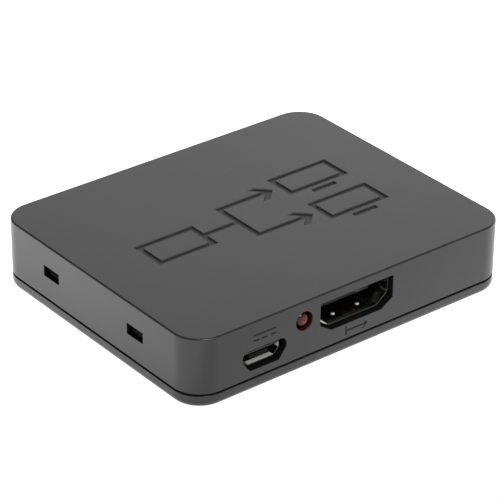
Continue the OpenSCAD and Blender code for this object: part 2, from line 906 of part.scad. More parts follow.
// One leaf lying along -Y from its root, with a round root and a dimple on its upper face
module spring_leaf() {
    reach = leaf_root - leaf_tip;
    cap_r = (dimple_r * dimple_r + dimple_out * dimple_out) / (2 * dimple_out);
    translate([-leaf_w / 2, -reach, -sheet / 2])
        cube([leaf_w, reach, sheet]);
    translate([-leaf_w / 2, 0, 0])
        rotate([0, 90, 0])
            cylinder(d = sheet, h = leaf_w);
    translate([0, dimple_y - leaf_root, sheet / 2 + dimple_out - cap_r])
        intersection() {
            sphere(r = cap_r);
            translate([-cap_r, -cap_r, cap_r - dimple_out - sheet / 2])
                cube([2 * cap_r, 2 * cap_r, cap_r]);
        }
}

// Legs of the power socket, through the board
module power_legs(gap) {
    half = power_w / 2;
    for (s = [0, 1], y = [power_leg_front, power_leg_back])
        mirror([s, 0, 0])
            translate([half - gap, y - gap, leg_low - gap])
                cube([
                    sheet + 2 * gap, power_leg_w + 2 * gap,
                    power_floor + power_corner - leg_low + gap
                ]);
}

// Folded steel shell of the power socket
module power_shell() {
    color([0.66, 0.66, 0.66])
        at_power() {
            difference() {
                run_back(power_len)
                    socket_outside(power_w, power_h, power_flat, power_corner, power_floor);
                translate([0, -over, 0])
                    run_back(power_len + 2 * over)
                        socket_outline(power_w, power_h, power_flat, power_corner, power_floor);
            }
            power_legs(0);
        }
}

// Contacts of the power socket, under its tongue
module power_contact_set() {
    color([0.83, 0.66, 0.30])
        for (k = [0:power_count - 1])
            translate([(k - (power_count - 1) / 2) * power_pitch, 0, 0])
                contact(
                    power_blade_low - power_contact_t, power_blade_tip + 0.3, power_len,
                    power_contact_w, power_contact_t, power_foot
                );
}
module power_contacts() {
    at_power()
        power_contact_set();
}

// Moulded insulator of the power socket
module power_insulator() {
    color([0.06, 0.06, 0.06])
        at_power()
            difference() {
                union() {
                    translate([0, power_block_y, 0])
                        run_back(power_block)
                            socket_outline(power_w, power_h, power_flat, power_corner, power_floor);
                    translate([-power_blade_w / 2, power_blade_tip, power_blade_low])
                        cube([power_blade_w, power_len - power_blade_tip, power_blade_t]);
                }
                power_contact_set();
            }
}

// Lead frame of the lamp: two legs bent down to the board, heads inside the lens
module lamp_frame() {
    for (s = [-1, 1])
        translate([lamp_x, 0, 0])
            mirror([s < 0 ? 1 : 0, 0, 0]) {
                translate([lead_pitch / 2 - lead_t / 2, 0, 0])
                    rotate([90, 0, 90])
                        linear_extrude(lead_t)
                            polygon([
                                [frame_y, lamp_z - lead_t / 2], [lead_y - lead_t, lamp_z - lead_t / 2],
                                [lead_y - lead_t, board_top + leg_low], [lead_y, board_top + leg_low],
                                [lead_y, lamp_z + lead_t / 2], [frame_y, lamp_z + lead_t / 2]
                            ]);
                translate([frame_split, frame_y, lamp_z - head_h / 2])
                    cube([lead_pitch / 2 + lead_t / 2 - frame_split, head_t, head_h]);
            }
}
module lamp_leads() {
    color([0.75, 0.75, 0.74])
        lamp_frame();
}

// Red lens of the lamp: dome, barrel and flange around the lead frame
module lamp_lens() {
    color([0.45, 0.06, 0.05])
        difference() {
            translate([lamp_x, front, lamp_z])
                rotate([-90, 0, 0])
                    rotate_extrude() {
                        translate([0, lamp_r])
                            square([lamp_r, lamp_len - lamp_r]);
                        translate([0, lamp_len - lamp_flange_t])
                            square([lamp_r + lamp_flange, lamp_flange_t]);
                        translate([0, lamp_r])
                            intersection() {
                                circle(r = lamp_r);
                                translate([0, -lamp_r])
                                    square([lamp_r, lamp_r]);
                            }
                    }
            lamp_frame();
        }
}

// Gull-wing lead from a chip's side, along +X, with its foot on the board
module gull_lead(w, t, lift, reach) {
    knee = 0.35 * reach;
    translate([0, w / 2, 0])
        rotate([90, 0, 0])
            linear_extrude(w)
                polygon([
                    [0, lift], [knee - t, lift], [knee, 0], [reach, 0],
                    [reach, t], [knee + t, t], [knee, lift + t], [0, lift + t]
                ]);
}

// Moulded chip body with a dot recess at its first lead
module chip_body(l, w, h) {
    dot = 0.45;
    difference() {
        translate([-l / 2, -w / 2, chip_lift])
            cube([l, w, h]);
        translate([-l / 2 + 2.2 * dot, -w / 2 + 2.2 * dot, chip_lift + h - 0.08])
            cylinder(r = dot, h = 1);
    }
}

// Splitter chip, with leads on all four sides
module splitter_chip() {
    color([0.09, 0.09, 0.09])
        translate([0, chip_y, board_top])
            chip_body(chip_side, chip_side, chip_h);
}
module splitter_chip_leads() {
    color([0.75, 0.75, 0.74])
        translate([0, chip_y, board_top])
            for (a = [0:90:270], k = [0:chip_leads - 1])
                rotate(a)
                    translate([chip_side / 2, (k - (chip_leads - 1) / 2) * chip_pitch, 0])
                        gull_lead(chip_lead_w, chip_lead_t, lead_lift, chip_reach);
}

// Voltage regulator with three leads and a wide tab
module regulator() {
    color([0.09, 0.09, 0.09])
        translate([reg_place.x, reg_place.y, board_top])
            chip_body(reg_l, reg_w, reg_h);
}
module regulator_leads() {
    color([0.75, 0.75, 0.74])
        translate([reg_place.x, reg_place.y, board_top]) {
            for (k = [-1:1])
                translate([k * reg_pitch, -reg_w / 2, 0])
                    rotate(-90)
                        gull_lead(reg_lead_w, reg_lead_t, lead_lift, reg_reach);
            translate([0, reg_w / 2, 0])
                rotate(90)
                    gull_lead(reg_tab_w, reg_lead_t, lead_lift, reg_reach);
        }
}

// Memory chip with four leads on each side
module memory_chip() {
    color([0.09, 0.09, 0.09])
        translate([mem_place.x, mem_place.y, board_top])
            chip_body(mem_l, mem_w, mem_h);
}
module memory_chip_leads() {
    color([0.75, 0.75, 0.74])
        translate([mem_place.x, mem_place.y, board_top])
            for (a = [-90, 90], k = [0:3])
                translate([(k - 1.5) * mem_pitch, sign(a) * mem_w / 2, 0])
                    rotate(a)
                        gull_lead(mem_lead_w, mem_lead_t, lead_lift, mem_reach);
}

// Crystal in a drawn metal can on a flange
module crystal() {
    flange = 0.25;
    flange_h = 0.5;
    color([0.70, 0.70, 0.70])
        translate([crystal_place.x, crystal_place.y, board_top]) {
            linear_extrude(flange_h)
                plan(crystal_w + 2 * flange, crystal_l + 2 * flange, 0.45 * crystal_w + flange);
            linear_extrude(crystal_h)
                plan(crystal_w, crystal_l, 0.45 * crystal_w);
        }
}

// Shielded power coil: ferrite block with a round core
module power_coil() {
    groove = 0.35;
    groove_depth = 0.4;
    core_d = coil_side - 1.4;
    color([0.16, 0.16, 0.17])
        translate([coil_place.x, coil_place.y, board_top])
            difference() {
                linear_extrude(coil_h)
                    plan(coil_side, coil_side, 0.8);
                translate([0, 0, coil_h - groove_depth])
                    difference() {
                        cylinder(d = core_d, h = 1);
                        cylinder(d = core_d - 2 * groove, h = 1);
                    }
            }
}

// Bulk capacitors: aluminium cans on moulded bases
module bulk_capacitor_cans() {
    neck = 0.2;
    neck_z = 0.7;
    neck_h = 0.4;
    color([0.74, 0.74, 0.75])
        for (p = can_places)
            translate([p.x, p.y, board_top + can_base_h])
                difference() {
                    cylinder(d = can_d, h = can_h);
                    translate([0, 0, neck_z])
                        difference() {
                            cylinder(d = can_d + 1, h = neck_h);
                            cylinder(d = can_d - 2 * neck, h = neck_h);
                        }
                }
}
module bulk_capacitor_bases() {
    side = can_d + 2 * can_base_out;
    cut = 0.9;
    color([0.10, 0.10, 0.10])
        for (p = can_places)
            translate([p.x, p.y, board_top])
                linear_extrude(can_base_h)
                    polygon([
                        [-side / 2, -side / 2], [side / 2 - cut, -side / 2], [side / 2, cut - side / 2],
                        [side / 2, side / 2 - cut], [side / 2 - cut, side / 2], [-side / 2, side / 2]
                    ]);
}

// Repeats at the places of a small part
module at_places(places) {
    for (p = places)
        translate([p.x, p.y, board_top])
            rotate(90 * p[2])
                children();
}

// Middle of a small part, between its metal ends
module small_body(size) {
    translate([end_l - size.x / 2, -size.y / 2, 0])
        cube([size.x - 2 * end_l, size.y, size.z]);
}

// Metal ends of a small part
module small_ends(size) {
    for (s = [0, 1])
        mirror([s, 0, 0])
            translate([size.x / 2 - end_l, -size.y / 2, 0])
                cube([end_l, size.y, size.z]);
}

module ceramic_capacitors() {
    color([0.55, 0.40, 0.26])
        at_places(ceramic_places)
            small_body(ceramic_size);
}
module ceramic_capacitor_ends() {
    color([0.75, 0.75, 0.74])
        at_places(ceramic_places)
            small_ends(ceramic_size);
}
module chip_resistors() {
    color([0.08, 0.08, 0.09])
        at_places(resistor_places)
            small_body(resistor_size);
}
module chip_resistor_ends() {
    color([0.75, 0.75, 0.74])
        at_places(resistor_places)
            small_ends(resistor_size);
}

// Surge protection arrays behind the video sockets
module surge_arrays() {
    color([0.08, 0.08, 0.08])
        at_places(array_places)
            translate([0, 0, array_size.z / 2])
                cube(array_size, center = true);
}

top_cover();
bottom_cover();
snap_tongues();
circuit_board();
at_input() video_shell();  // input_shell
at_input() video_insulator();  // input_insulator
at_input() video_contacts();  // input_contacts
at_input() video_leaves(-1);  // input_upper_leaves
at_input() video_leaves(1);  // input_lower_leaves
at_output(1) video_shell();  // output_1_shell
at_output(1) video_insulator();  // output_1_insulator
at_output(1) video_contacts();  // output_1_contacts
at_output(1) video_leaves(-1);  // output_1_upper_leaves
at_output(1) video_leaves(1);  // output_1_lower_leaves
at_output(-1) video_shell();  // output_2_shell
at_output(-1) video_insulator();  // output_2_insulator
at_output(-1) video_contacts();  // output_2_contacts
at_output(-1) video_leaves(-1);  // output_2_upper_leaves
at_output(-1) video_leaves(1);  // output_2_lower_leaves
power_shell();
power_insulator();
power_contacts();
lamp_lens();
lamp_leads();
splitter_chip();
splitter_chip_leads();
regulator();
regulator_leads();
memory_chip();
memory_chip_leads();
crystal();
power_coil();
bulk_capacitor_cans();
bulk_capacitor_bases();
ceramic_capacitors();
ceramic_capacitor_ends();
chip_resistors();
chip_resistor_ends();
surge_arrays();
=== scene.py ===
"""Looks of a small video splitter box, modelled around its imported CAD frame.

The file is laid out as an add-on and run as a script. Helpers take millimetres in the
CAD frame: X along the port faces, Y from the front to the back, Z up from the table.
"""

import contextlib
import math

import bmesh
import bpy
from mathutils import Matrix, Vector


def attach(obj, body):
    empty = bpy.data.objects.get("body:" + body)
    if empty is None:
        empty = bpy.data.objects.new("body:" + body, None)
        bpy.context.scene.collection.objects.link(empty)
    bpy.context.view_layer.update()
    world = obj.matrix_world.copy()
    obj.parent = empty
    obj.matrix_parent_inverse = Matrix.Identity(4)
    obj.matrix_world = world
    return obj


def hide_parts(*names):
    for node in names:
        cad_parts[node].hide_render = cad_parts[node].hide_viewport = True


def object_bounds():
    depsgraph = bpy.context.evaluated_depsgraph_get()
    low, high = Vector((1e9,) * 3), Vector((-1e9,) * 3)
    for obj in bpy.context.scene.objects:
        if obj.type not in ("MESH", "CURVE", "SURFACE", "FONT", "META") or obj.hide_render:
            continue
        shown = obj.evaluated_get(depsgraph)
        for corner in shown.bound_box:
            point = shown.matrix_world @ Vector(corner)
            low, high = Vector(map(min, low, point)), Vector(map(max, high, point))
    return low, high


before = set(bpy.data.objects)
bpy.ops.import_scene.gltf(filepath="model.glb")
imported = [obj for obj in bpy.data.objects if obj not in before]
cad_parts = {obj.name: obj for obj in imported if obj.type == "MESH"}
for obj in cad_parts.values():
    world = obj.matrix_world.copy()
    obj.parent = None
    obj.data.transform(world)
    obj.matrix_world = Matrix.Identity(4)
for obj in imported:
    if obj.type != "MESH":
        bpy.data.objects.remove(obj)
CAD_LOW, CAD_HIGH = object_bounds()

bl_info = {
    "name": "Video splitter box",
    "version": (1, 0, 0),
    "blender": (4, 5, 0),
    "location": "View3D > Sidebar > Splitter",
    "description": "Covers, sockets, lamp and board of a video splitter box, and a studio for it",
    "category": "Object",
}

MM = 0.001
# Corners nearer than MERGE are merged, and edges within NEAR of a plane lie in it.
MERGE, NEAR = 0.004, 0.01
# In degrees: sharper edges than HARD_ANGLE are hard, and faces within FLAT_ANGLE lie in one plane.
HARD_ANGLE, FLAT_ANGLE = 32.0, 0.2
# Part of a direction that lies on an axis: over STRAIGHT or ALONG it runs along it, under ACROSS across it.
STRAIGHT, ALONG, ACROSS = 0.99, 0.9, 0.5
# Faces less than SKIN deep belong to the case's surface.
SKIN = 0.02
# Edge break of the shells' sheet, and how far its cut edge reaches behind the mouth
SHEET_BREAK, CUT_EDGE = 0.025, 0.1
# Scale of the rolling lines' pattern, which stretches them along Y
ROLLED = (1, 0.15, 1)

# Places that several pieces share
BOARD_TOP = 4.05
OUTPUT_X = 14
POWER_X = -18.35
LAMP_X, LAMP_Z = -10.6, 8.75
POST_X, POST_Y, POST_RADIUS = 25.5, 17, 1.7
POSTS = [(x, y) for x in (-POST_X, POST_X) for y in (-POST_Y, POST_Y)]
SNAP_Y = 11.2
SNAPS = [(side, y) for side in (-1, 1) for y in (-SNAP_Y, SNAP_Y)]
# The video sockets: where the middle of the mouth stands on the board, and the turn in degrees.
VIDEO_SOCKETS = {
    "input": ((0, -25, BOARD_TOP), 0),
    "output_1": ((OUTPUT_X, 23.9, BOARD_TOP), 180),
    "output_2": ((-OUTPUT_X, 23.9, BOARD_TOP), 180),
}


# Sizes and colours


def linear(hex_colour):
    """Turns an sRGB hex colour into linear red, green, blue and alpha."""
    values = [int(hex_colour[k : k + 2], 16) / 255 for k in (1, 3, 5)]
    return [v / 12.92 if v <= 0.04045 else ((v + 0.055) / 1.055) ** 2.4 for v in values] + [1.0]


def length(name, description, millimetres):
    """A length that a user may change, given in millimetres and kept in metres."""
    return bpy.props.FloatProperty(
        name=name,
        description=description,
        default=millimetres * MM,
        min=0.0,
        unit="LENGTH",
        subtype="DISTANCE",
        precision=5,
    )


def colour(name, description, hex_colour):
    """A colour that a user may change."""
    return bpy.props.FloatVectorProperty(
        name=name,
        description=description,
        default=linear(hex_colour),
        size=4,
        min=0.0,
        max=1.0,
        subtype="COLOR",
    )


class SplitterSizes(bpy.types.PropertyGroup):
    """Sizes of the modelled pieces."""

    width: length("Width", "Case width along the port faces", (CAD_HIGH.x - CAD_LOW.x) / MM)
    depth: length("Depth", "Case depth from the front to the back", (CAD_HIGH.y - CAD_LOW.y) / MM)
    height: length("Height", "Height of the closed case", (CAD_HIGH.z - CAD_LOW.z) / MM)
    corner: length("Corner radius", "Radius of the upright corners", 5.0)
    wall: length("Wall", "Thickness of the upper cover's walls", 1.2)
    roof: length("Roof", "Thickness of the upper cover's roof", 1.4)
    plate: length("Plate", "Thickness of the lower cover's plate", 1.3)
    rim: length("Rim", "Height of the lower cover's rim", 2.12)
    line_height: length("Line height", "Height of the dark line between the covers", 0.35)
    line_depth: length("Line depth", "Depth of the dark line between the covers", 0.6)
    roof_round: length("Roof rounding", "Rounding of the roof's edge", 0.3)
    base_round: length("Base rounding", "Rounding of the underside's edge", 1.1)
    edge_break: length("Edge break", "Tiny rounding of moulded edges", 0.1)
    mark_depth: length("Mark depth", "Depth of the sunk marks", 0.25)
    mark_stroke: length("Mark stroke", "Stroke of the mark on the roof", 1.1)
    sheet: length("Sheet", "Thickness of the shells' sheet metal", 0.25)
    fold: length("Fold radius", "Outer radius of the folds in the video shells", 0.45)
    lens: length("Lens diameter", "Diameter of the lamp's lens", 3.0)


class SplitterColours(bpy.types.PropertyGroup):
    """Colours of the finishes."""

    case: colour("Case", "Charcoal of the two covers", "#1f1f20")
    case_light: colour("Case, lighter", "Lighter flecks of the covers' charcoal", "#262627")
    # Painted light: the walls of the sunk marks are painted paler than the case, as if lit.
    case_lit_walls: colour("Case, drawn", "Walls of the sunk marks, paler where the mould drew off", "#5e5e5f")
    board: colour("Board", "Solder mask of the board", "#12502c")
    track: colour("Tracks", "Solder mask over the board's copper", "#1d6a3d")
    steel: colour("Steel", "Plated steel of the sockets", "#b4b4b0")
    # Partly painted shade: cut edges are bare steel, and their dark colour also stands in for the shade in
    # the sockets' mouths.
    sheared: colour("Sheared edge", "Cut edges of the sheet, where the plate ends", "#4c4c4a")
    # Painted light: the lower cut edges of the video sockets are painted paler than the upper ones.
    rim: colour("Rim", "Lower cut edges of the video sockets' sheet", "#6c6c69")
    gold: colour("Gold", "Thin gold plate of the contacts", "#d9b25a")
    tin: colour("Tin", "Tinned leads and ends", "#dededb")
    resin: colour("Resin", "Moulded resin of the chips", "#1d1d1f")
    socket: colour("Socket plastic", "Black plastic inside the sockets", "#161617")
    # Painted shade: the walls of the ports and snap windows, and the snap tongues, are painted darker than
    # the case, as if in shade.
    port: colour("Port walls", "Walls of the ports and the snap tongues, dull from the mould", "#0e0e0f")
    aluminium: colour("Aluminium", "Cans of the bulk capacitors", "#d2d3d4")
    mark: colour("Pole mark", "Printed mark on the bulk capacitors", "#202226")
    ceramic: colour("Ceramic", "Fired bodies of the small capacitors", "#8a6a45")
    ferrite: colour("Ferrite", "Sintered body of the power coil", "#3a3a3c")
    lens: colour("Lens", "Tinted resin of the lamp, over the cup inside it", "#602018")
    # Partly painted shade: the deep red beside the cup also stands in for the shade that the hole casts on
    # the lens's outer part.
    lens_rim_shaded: colour("Lens rim", "Tinted resin of the lamp, beside the cup", "#300c08")
    # Painted light: red light from the lens, painted onto the wall of the lamp's hole.
    lens_glow: colour("Lens glow", "Wall of the lamp's hole, tinted by the lens", "#30130f")
    floor: colour("Floor", "Pale studio floor", "#ffffff")


# Modelling helpers


def start_clean():
    """Leaves edit mode and deselects everything, because operators act on all that is selected."""
    if bpy.context.object and bpy.context.object.mode == "EDIT":
        bpy.ops.object.mode_set(mode="OBJECT")
    bpy.ops.object.select_all(action="DESELECT")


def make_active(obj):
    """Selects one object alone and makes it active."""
    start_clean()
    obj.select_set(True)
    bpy.context.view_layer.objects.active = obj


@contextlib.contextmanager
def editing(obj):
    """Edit mode on one object alone, with all of it selected."""
    make_active(obj)
    bpy.ops.object.mode_set(mode="EDIT")
    bpy.ops.mesh.select_all(action="SELECT")
    yield
    bpy.ops.object.mode_set(mode="OBJECT")


def select_where(obj, kind, test):
    """In edit mode, selects the edges or faces whose middle and direction pass a test."""
    bpy.ops.mesh.select_mode(type=kind)
    bpy.ops.mesh.select_all(action="DESELECT")
    mesh = bmesh.from_edit_mesh(obj.data)
    if kind == "EDGE":
        for edge in mesh.edges:
            a, b = (v.co / MM for v in edge.verts)
            if test((a + b) / 2, (b - a).normalized()):
                edge.select_set(True)
    else:
        for face in mesh.faces:
            if test(face.calc_center_median() / MM, face.normal):
                face.select_set(True)
    bmesh.update_edit_mesh(obj.data)


def apply_modifier(obj, kind, **settings):
    """Adds a modifier with its settings and applies it."""
    make_active(obj)
    step = obj.modifiers.new(kind.title(), kind)
    for key, value in settings.items():
        setattr(step, key, value)
    bpy.ops.object.modifier_apply(modifier=step.name)


def box_at(name, size, middle):
    """A box of a size around a middle, with its place in its mesh."""
    start_clean()
    bpy.ops.mesh.primitive_cube_add(size=1)
    obj = bpy.context.object
    obj.name = obj.data.name = name
    with editing(obj):
        bpy.ops.transform.resize(value=[v * MM for v in size])
        bpy.ops.transform.translate(value=[v * MM for v in middle])
    return obj


def round_bar(name, radius, span, middle, axis="Z", sides=48):
    """A round bar of a length around a middle, along Y or Z."""
    turns = {"Y": (math.pi / 2, 0, 0), "Z": (0, 0, 0)}
    start_clean()
    bpy.ops.mesh.primitive_cylinder_add(
        vertices=sides,
        radius=radius * MM,
        depth=span * MM,
        location=[v * MM for v in middle],
        rotation=turns[axis],
    )
    obj = bpy.context.object
    obj.name = obj.data.name = name
    bpy.ops.object.transform_apply()
    return obj


def round_edges(obj, radius, segments, test):
    """Rounds the edges that pass a test."""
    with editing(obj):
        select_where(obj, "EDGE", test)
        bpy.ops.mesh.bevel(offset=radius * MM, segments=segments, affect="EDGES")


def case_block(s, name, inset, bottom, top, low=0.0, high=0.0):
    """A block with the case's outline less an inset, and a rounded lower or upper edge."""
    size = (s["width"] - 2 * inset, s["depth"] - 2 * inset, top - bottom)
    obj = box_at(name, size, (0, 0, (bottom + top) / 2))
    round_edges(obj, s["corner"] - inset, segments=16, test=lambda p, d: abs(d.z) > ALONG)
    if low:
        round_edges(obj, low, segments=8, test=lambda p, d: p.z < bottom + NEAR)
    if high:
        round_edges(obj, high, segments=6, test=lambda p, d: p.z > top - NEAR)
    return obj


def trim(obj, point, normal):
    """Cuts off what lies on the normal's side of a plane and closes the cut."""
    with editing(obj):
        bpy.ops.mesh.bisect(
            plane_co=[v * MM for v in point],
            plane_no=Vector(normal).normalized(),
            use_fill=True,
            clear_outer=True,
        )


def divide(obj, point, normal):
    """Divides the faces along a plane. A face with a hole in it needs this, or its edges can't be rounded."""
    with editing(obj):
        bpy.ops.mesh.bisect(plane_co=[v * MM for v in point], plane_no=normal)


def combine(obj, *tools, operation="DIFFERENCE"):
    """Cuts tools out of a piece, or fuses them to it, and removes the tools."""
    for tool in tools:
        apply_modifier(obj, "BOOLEAN", operation=operation, solver="EXACT", object=tool)
        bpy.data.objects.remove(tool, do_unlink=True)
    return obj


def join(name, pieces):
    """Joins pieces into one object."""
    make_active(pieces[0])
    for piece in pieces[1:]:
        piece.select_set(True)
    bpy.ops.object.join()
    obj = bpy.context.object
    obj.name = obj.data.name = name
    return obj


def merge_leftovers(obj, flat=False):
    """Merges corners that cuts leave almost on one another and, if asked, faces that lie in one plane."""
    with editing(obj):
        bpy.ops.mesh.remove_doubles(threshold=MERGE * MM)
        bpy.ops.mesh.dissolve_degenerate(threshold=MERGE * MM)
        if flat:
            bpy.ops.mesh.dissolve_limited(angle_limit=math.radians(FLAT_ANGLE))
    return obj


def break_edges(obj, radius):
    """Rounds the hard edges by a small radius."""
    apply_modifier(
        merge_leftovers(obj),
        "BEVEL",
        width=radius * MM,
        segments=3,
        limit_method="ANGLE",
        angle_limit=math.radians(HARD_ANGLE),
        use_clamp_overlap=True,
    )
    return obj


def even_shading(obj):
    """Shades rounded edges smooth and keeps flat faces flat."""
    make_active(obj)
    bpy.ops.object.shade_smooth_by_angle(angle=math.radians(HARD_ANGLE))
    apply_modifier(obj, "WEIGHTED_NORMAL", keep_sharp=True)
    return obj


def soften(obj, radius):
    """Breaks the hard edges by a small radius and evens the shading of flat faces."""
    return even_shading(break_edges(obj, radius))


def copy_of(obj, name, place, turn=0.0):
    """A copy with its own mesh, turned about Z and moved, with its place in its mesh."""
    make_active(obj)
    bpy.ops.object.duplicate(linked=False)
    new = bpy.context.object
    new.name = new.data.name = name
    new.location = [v * MM for v in place]
    new.rotation_euler = (0, 0, math.radians(turn))
    bpy.ops.object.transform_apply()
    return new


def dress(obj, material):
    """Gives a piece one material."""
    obj.data.materials.clear()
    obj.data.materials.append(material)


def paint(obj, test, *look):
    """Gives a further finish to the faces whose middle and normal pass a test."""
    obj.data.materials.append(finish(*look))
    obj.active_material_index = len(obj.data.materials) - 1
    with editing(obj):
        select_where(obj, "FACE", test)
        bpy.ops.object.material_slot_assign()


def settle(obj, body, slot, *nodes):
    """Says which body a finished piece rides on and hides the nodes it stands for. The slot is not used."""
    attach(obj, body)
    if nodes:
        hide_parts(*nodes)


def own_keys(group):
    """The names of the properties that a group has of its own."""
    return [k for k in group.bl_rna.properties.keys() if k not in ("rna_type", "name")]


def settings_of(scene):
    """The sizes in the sidebar, in millimetres, and its colours."""
    sizes = scene.splitter_sizes
    return {k: getattr(sizes, k) / MM for k in own_keys(sizes)}, scene.splitter_colours


# Materials


def node(tree, kind, values=None, links=None, **settings):
    """Adds a shader node with its settings, its input values and links from (node, output) pairs."""
    new = tree.nodes.new("ShaderNode" + kind)
    for key, value in settings.items():
        setattr(new, key, value)
    for key, value in (values or {}).items():
        new.inputs[key].default_value = value
    for key, (source, output) in (links or {}).items():
        tree.links.new(source.outputs[output], new.inputs[key])
    return new


def finish(name, surface, *values):
    """A new material with one of the surfaces below, whose patterns follow the place on the piece."""
    material = bpy.data.materials.new(name)
    material.use_nodes = True
    tree = material.node_tree
    tree.nodes.clear()
    place = (node(tree, "TexCoord"), "Object")
    node(tree, "OutputMaterial", links={"Surface": (surface(tree, place, *values), 0)})
    return material


def grained(tree, place, grain_mm, low, high, detail=2.0, rough=0.5):
    """A grain of a size in millimetres, and a roughness that follows it from a low to a high value."""
    size = {"Scale": 1 / (grain_mm * MM), "Detail": detail, "Roughness": rough}
    grain = node(tree, "TexNoise", size, {"Vector": place})
    # Noise seldom goes below 0.3 or above 0.7.
    spread = {"From Min": 0.3, "From Max": 0.7, "To Min": low, "To Max": high}
    gloss = node(tree, "MapRange", spread, {"Value": (grain, "Fac")})
    return (grain, "Fac"), (gloss, "Result")


def moulded_abs(tree, place, base, light, low=0.27, high=0.33):
    """ABS moulded in a finely spark-eroded tool: a satin charcoal whose faint grain breaks up the gloss."""
    # The eroded grain is about 0.05 mm and is drawn at 0.3 mm, so that it shows in the render.
    eroded = {"Scale": 1 / (0.3 * MM), "Detail": 3.0, "Roughness": 0.6}
    grain = node(tree, "TexNoise", eroded, {"Vector": place})
    tone = node(tree, "Mix", {"A": base, "B": light}, {"Factor": (grain, "Fac")}, data_type="RGBA")
    bump = node(tree, "Bump", {"Strength": 0.06, "Distance": 0.02 * MM}, {"Height": (grain, "Fac")})
    # Slow drift of the gloss over about 20 mm, from the flow of the melt.
    _, gloss = grained(tree, place, 20, low, high)
    links = {"Base Color": (tone, "Result"), "Roughness": gloss, "Normal": (bump, "Normal")}
    return node(tree, "BsdfPrincipled", {"IOR": 1.54}, links)


def plated_steel(tree, place, base, low, high, stretch):
    """Rolled sheet metal with a thin bright plate: fine rolling lines along one way, soft reflections."""
    # The rolling lines are about 0.06 mm apart and are drawn at 0.12 mm, stretched along the sheet.
    drawn = node(tree, "Mapping", {"Scale": stretch}, {"Vector": place})
    lines, gloss = grained(tree, (drawn, "Vector"), 0.12, low, high)
    bump = node(tree, "Bump", {"Strength": 0.08, "Distance": 0.01 * MM}, {"Height": lines})
    links = {"Roughness": gloss, "Normal": (bump, "Normal")}
    return node(tree, "BsdfPrincipled", {"Base Color": base, "Metallic": 1.0}, links)


def spring_steel(tree, place, base, tin, side_shade):
    """Rolled spring steel: smooth flats that mirror the dark socket, domes painted pale as tin for a painted
    highlight, and sides painted near-black as painted shade.
    """
    # Level faces are the flats, those that lean a little are the domes, and upright ones the cut sides.
    shape = node(tree, "NewGeometry")
    apart = node(tree, "SeparateXYZ", links={"Vector": (shape, "True Normal")})
    level = node(tree, "Math", links={0: (apart, "Z")}, operation="ABSOLUTE")
    bent, side = (
        (node(tree, "MapRange", {"From Min": start, "From Max": end}, {"Value": (level, "Value")}), "Result")
        for start, end in ((0.995, 0.97), (0.3, 0.2))
    )
    dome = (node(tree, "Math", links={0: bent, 1: side}, operation="SUBTRACT"), "Value")
    # Painted highlight: the domes are painted pale as matte tin.
    plate = node(tree, "Mix", {"A": base, "B": tin}, {"Factor": dome}, data_type="RGBA")
    # Painted shade: the upright sides are painted near-black.
    tone = node(tree, "Mix", {"B": side_shade}, {"Factor": side, "A": (plate, "Result")}, data_type="RGBA")
    metal = node(tree, "MapRange", {"To Min": 1.0, "To Max": 0.3}, {"Value": dome})
    # The rolling lines are about 0.06 mm apart and are drawn at 0.12 mm, stretched along the leaf.
    drawn = node(tree, "Mapping", {"Scale": ROLLED}, {"Vector": place})
    _, rolled = grained(tree, (drawn, "Vector"), 0.12, 0.17, 0.25)
    gloss = node(tree, "Math", {1: 0.45}, {0: bent, 2: rolled}, operation="MULTIPLY_ADD")
    links = {"Base Color": (tone, "Result"), "Metallic": (metal, "Result"), "Roughness": (gloss, "Value")}
    return node(tree, "BsdfPrincipled", links=links)


def sheared_steel(tree, place, base, low, high):
    """Edge of sheet steel left by the shear: torn, dull and unplated, so darker than the plate."""
    # The tear is about 0.03 mm and is drawn at 0.1 mm, so that it shows in the render.
    tear, gloss = grained(tree, place, 0.1, low, high, detail=3.0, rough=0.7)
    bump = node(tree, "Bump", {"Strength": 0.3, "Distance": 0.02 * MM}, {"Height": tear})
    links = {"Roughness": gloss, "Normal": (bump, "Normal")}
    return node(tree, "BsdfPrincipled", {"Base Color": base, "Metallic": 1.0}, links)


def matte_tin(tree, place, base):
    """Matte electroplated tin: fine crystals scatter the light, so it looks pale grey, not mirror-like."""
    # The crystals are about 0.005 mm and are drawn at 0.08 mm, so that they show in the render.
    crystals = node(tree, "TexVoronoi", {"Scale": 1 / (0.08 * MM)}, {"Vector": place})
    gloss = node(tree, "MapRange", {"To Min": 0.45, "To Max": 0.65}, {"Value": (crystals, "Distance")})
    links = {"Roughness": (gloss, "Result")}
    return node(tree, "BsdfPrincipled", {"Base Color": base, "Metallic": 0.3}, links)


def moulded_resin(tree, place, base, low, high, grain_mm, shine=0.5):
    """Filled plastic or resin with a dull moulded skin, which shine makes weaker or stronger."""
    # The filler's grain is under 0.1 mm and is drawn coarser, so that it shows in the render.
    grain, gloss = grained(tree, place, grain_mm, low, high)
    bump = node(tree, "Bump", {"Strength": 0.05, "Distance": 0.02 * MM}, {"Height": grain})
    skin = {"Base Color": base, "IOR": 1.5, "Specular IOR Level": shine}
    return node(tree, "BsdfPrincipled", skin, {"Roughness": gloss, "Normal": (bump, "Normal")})


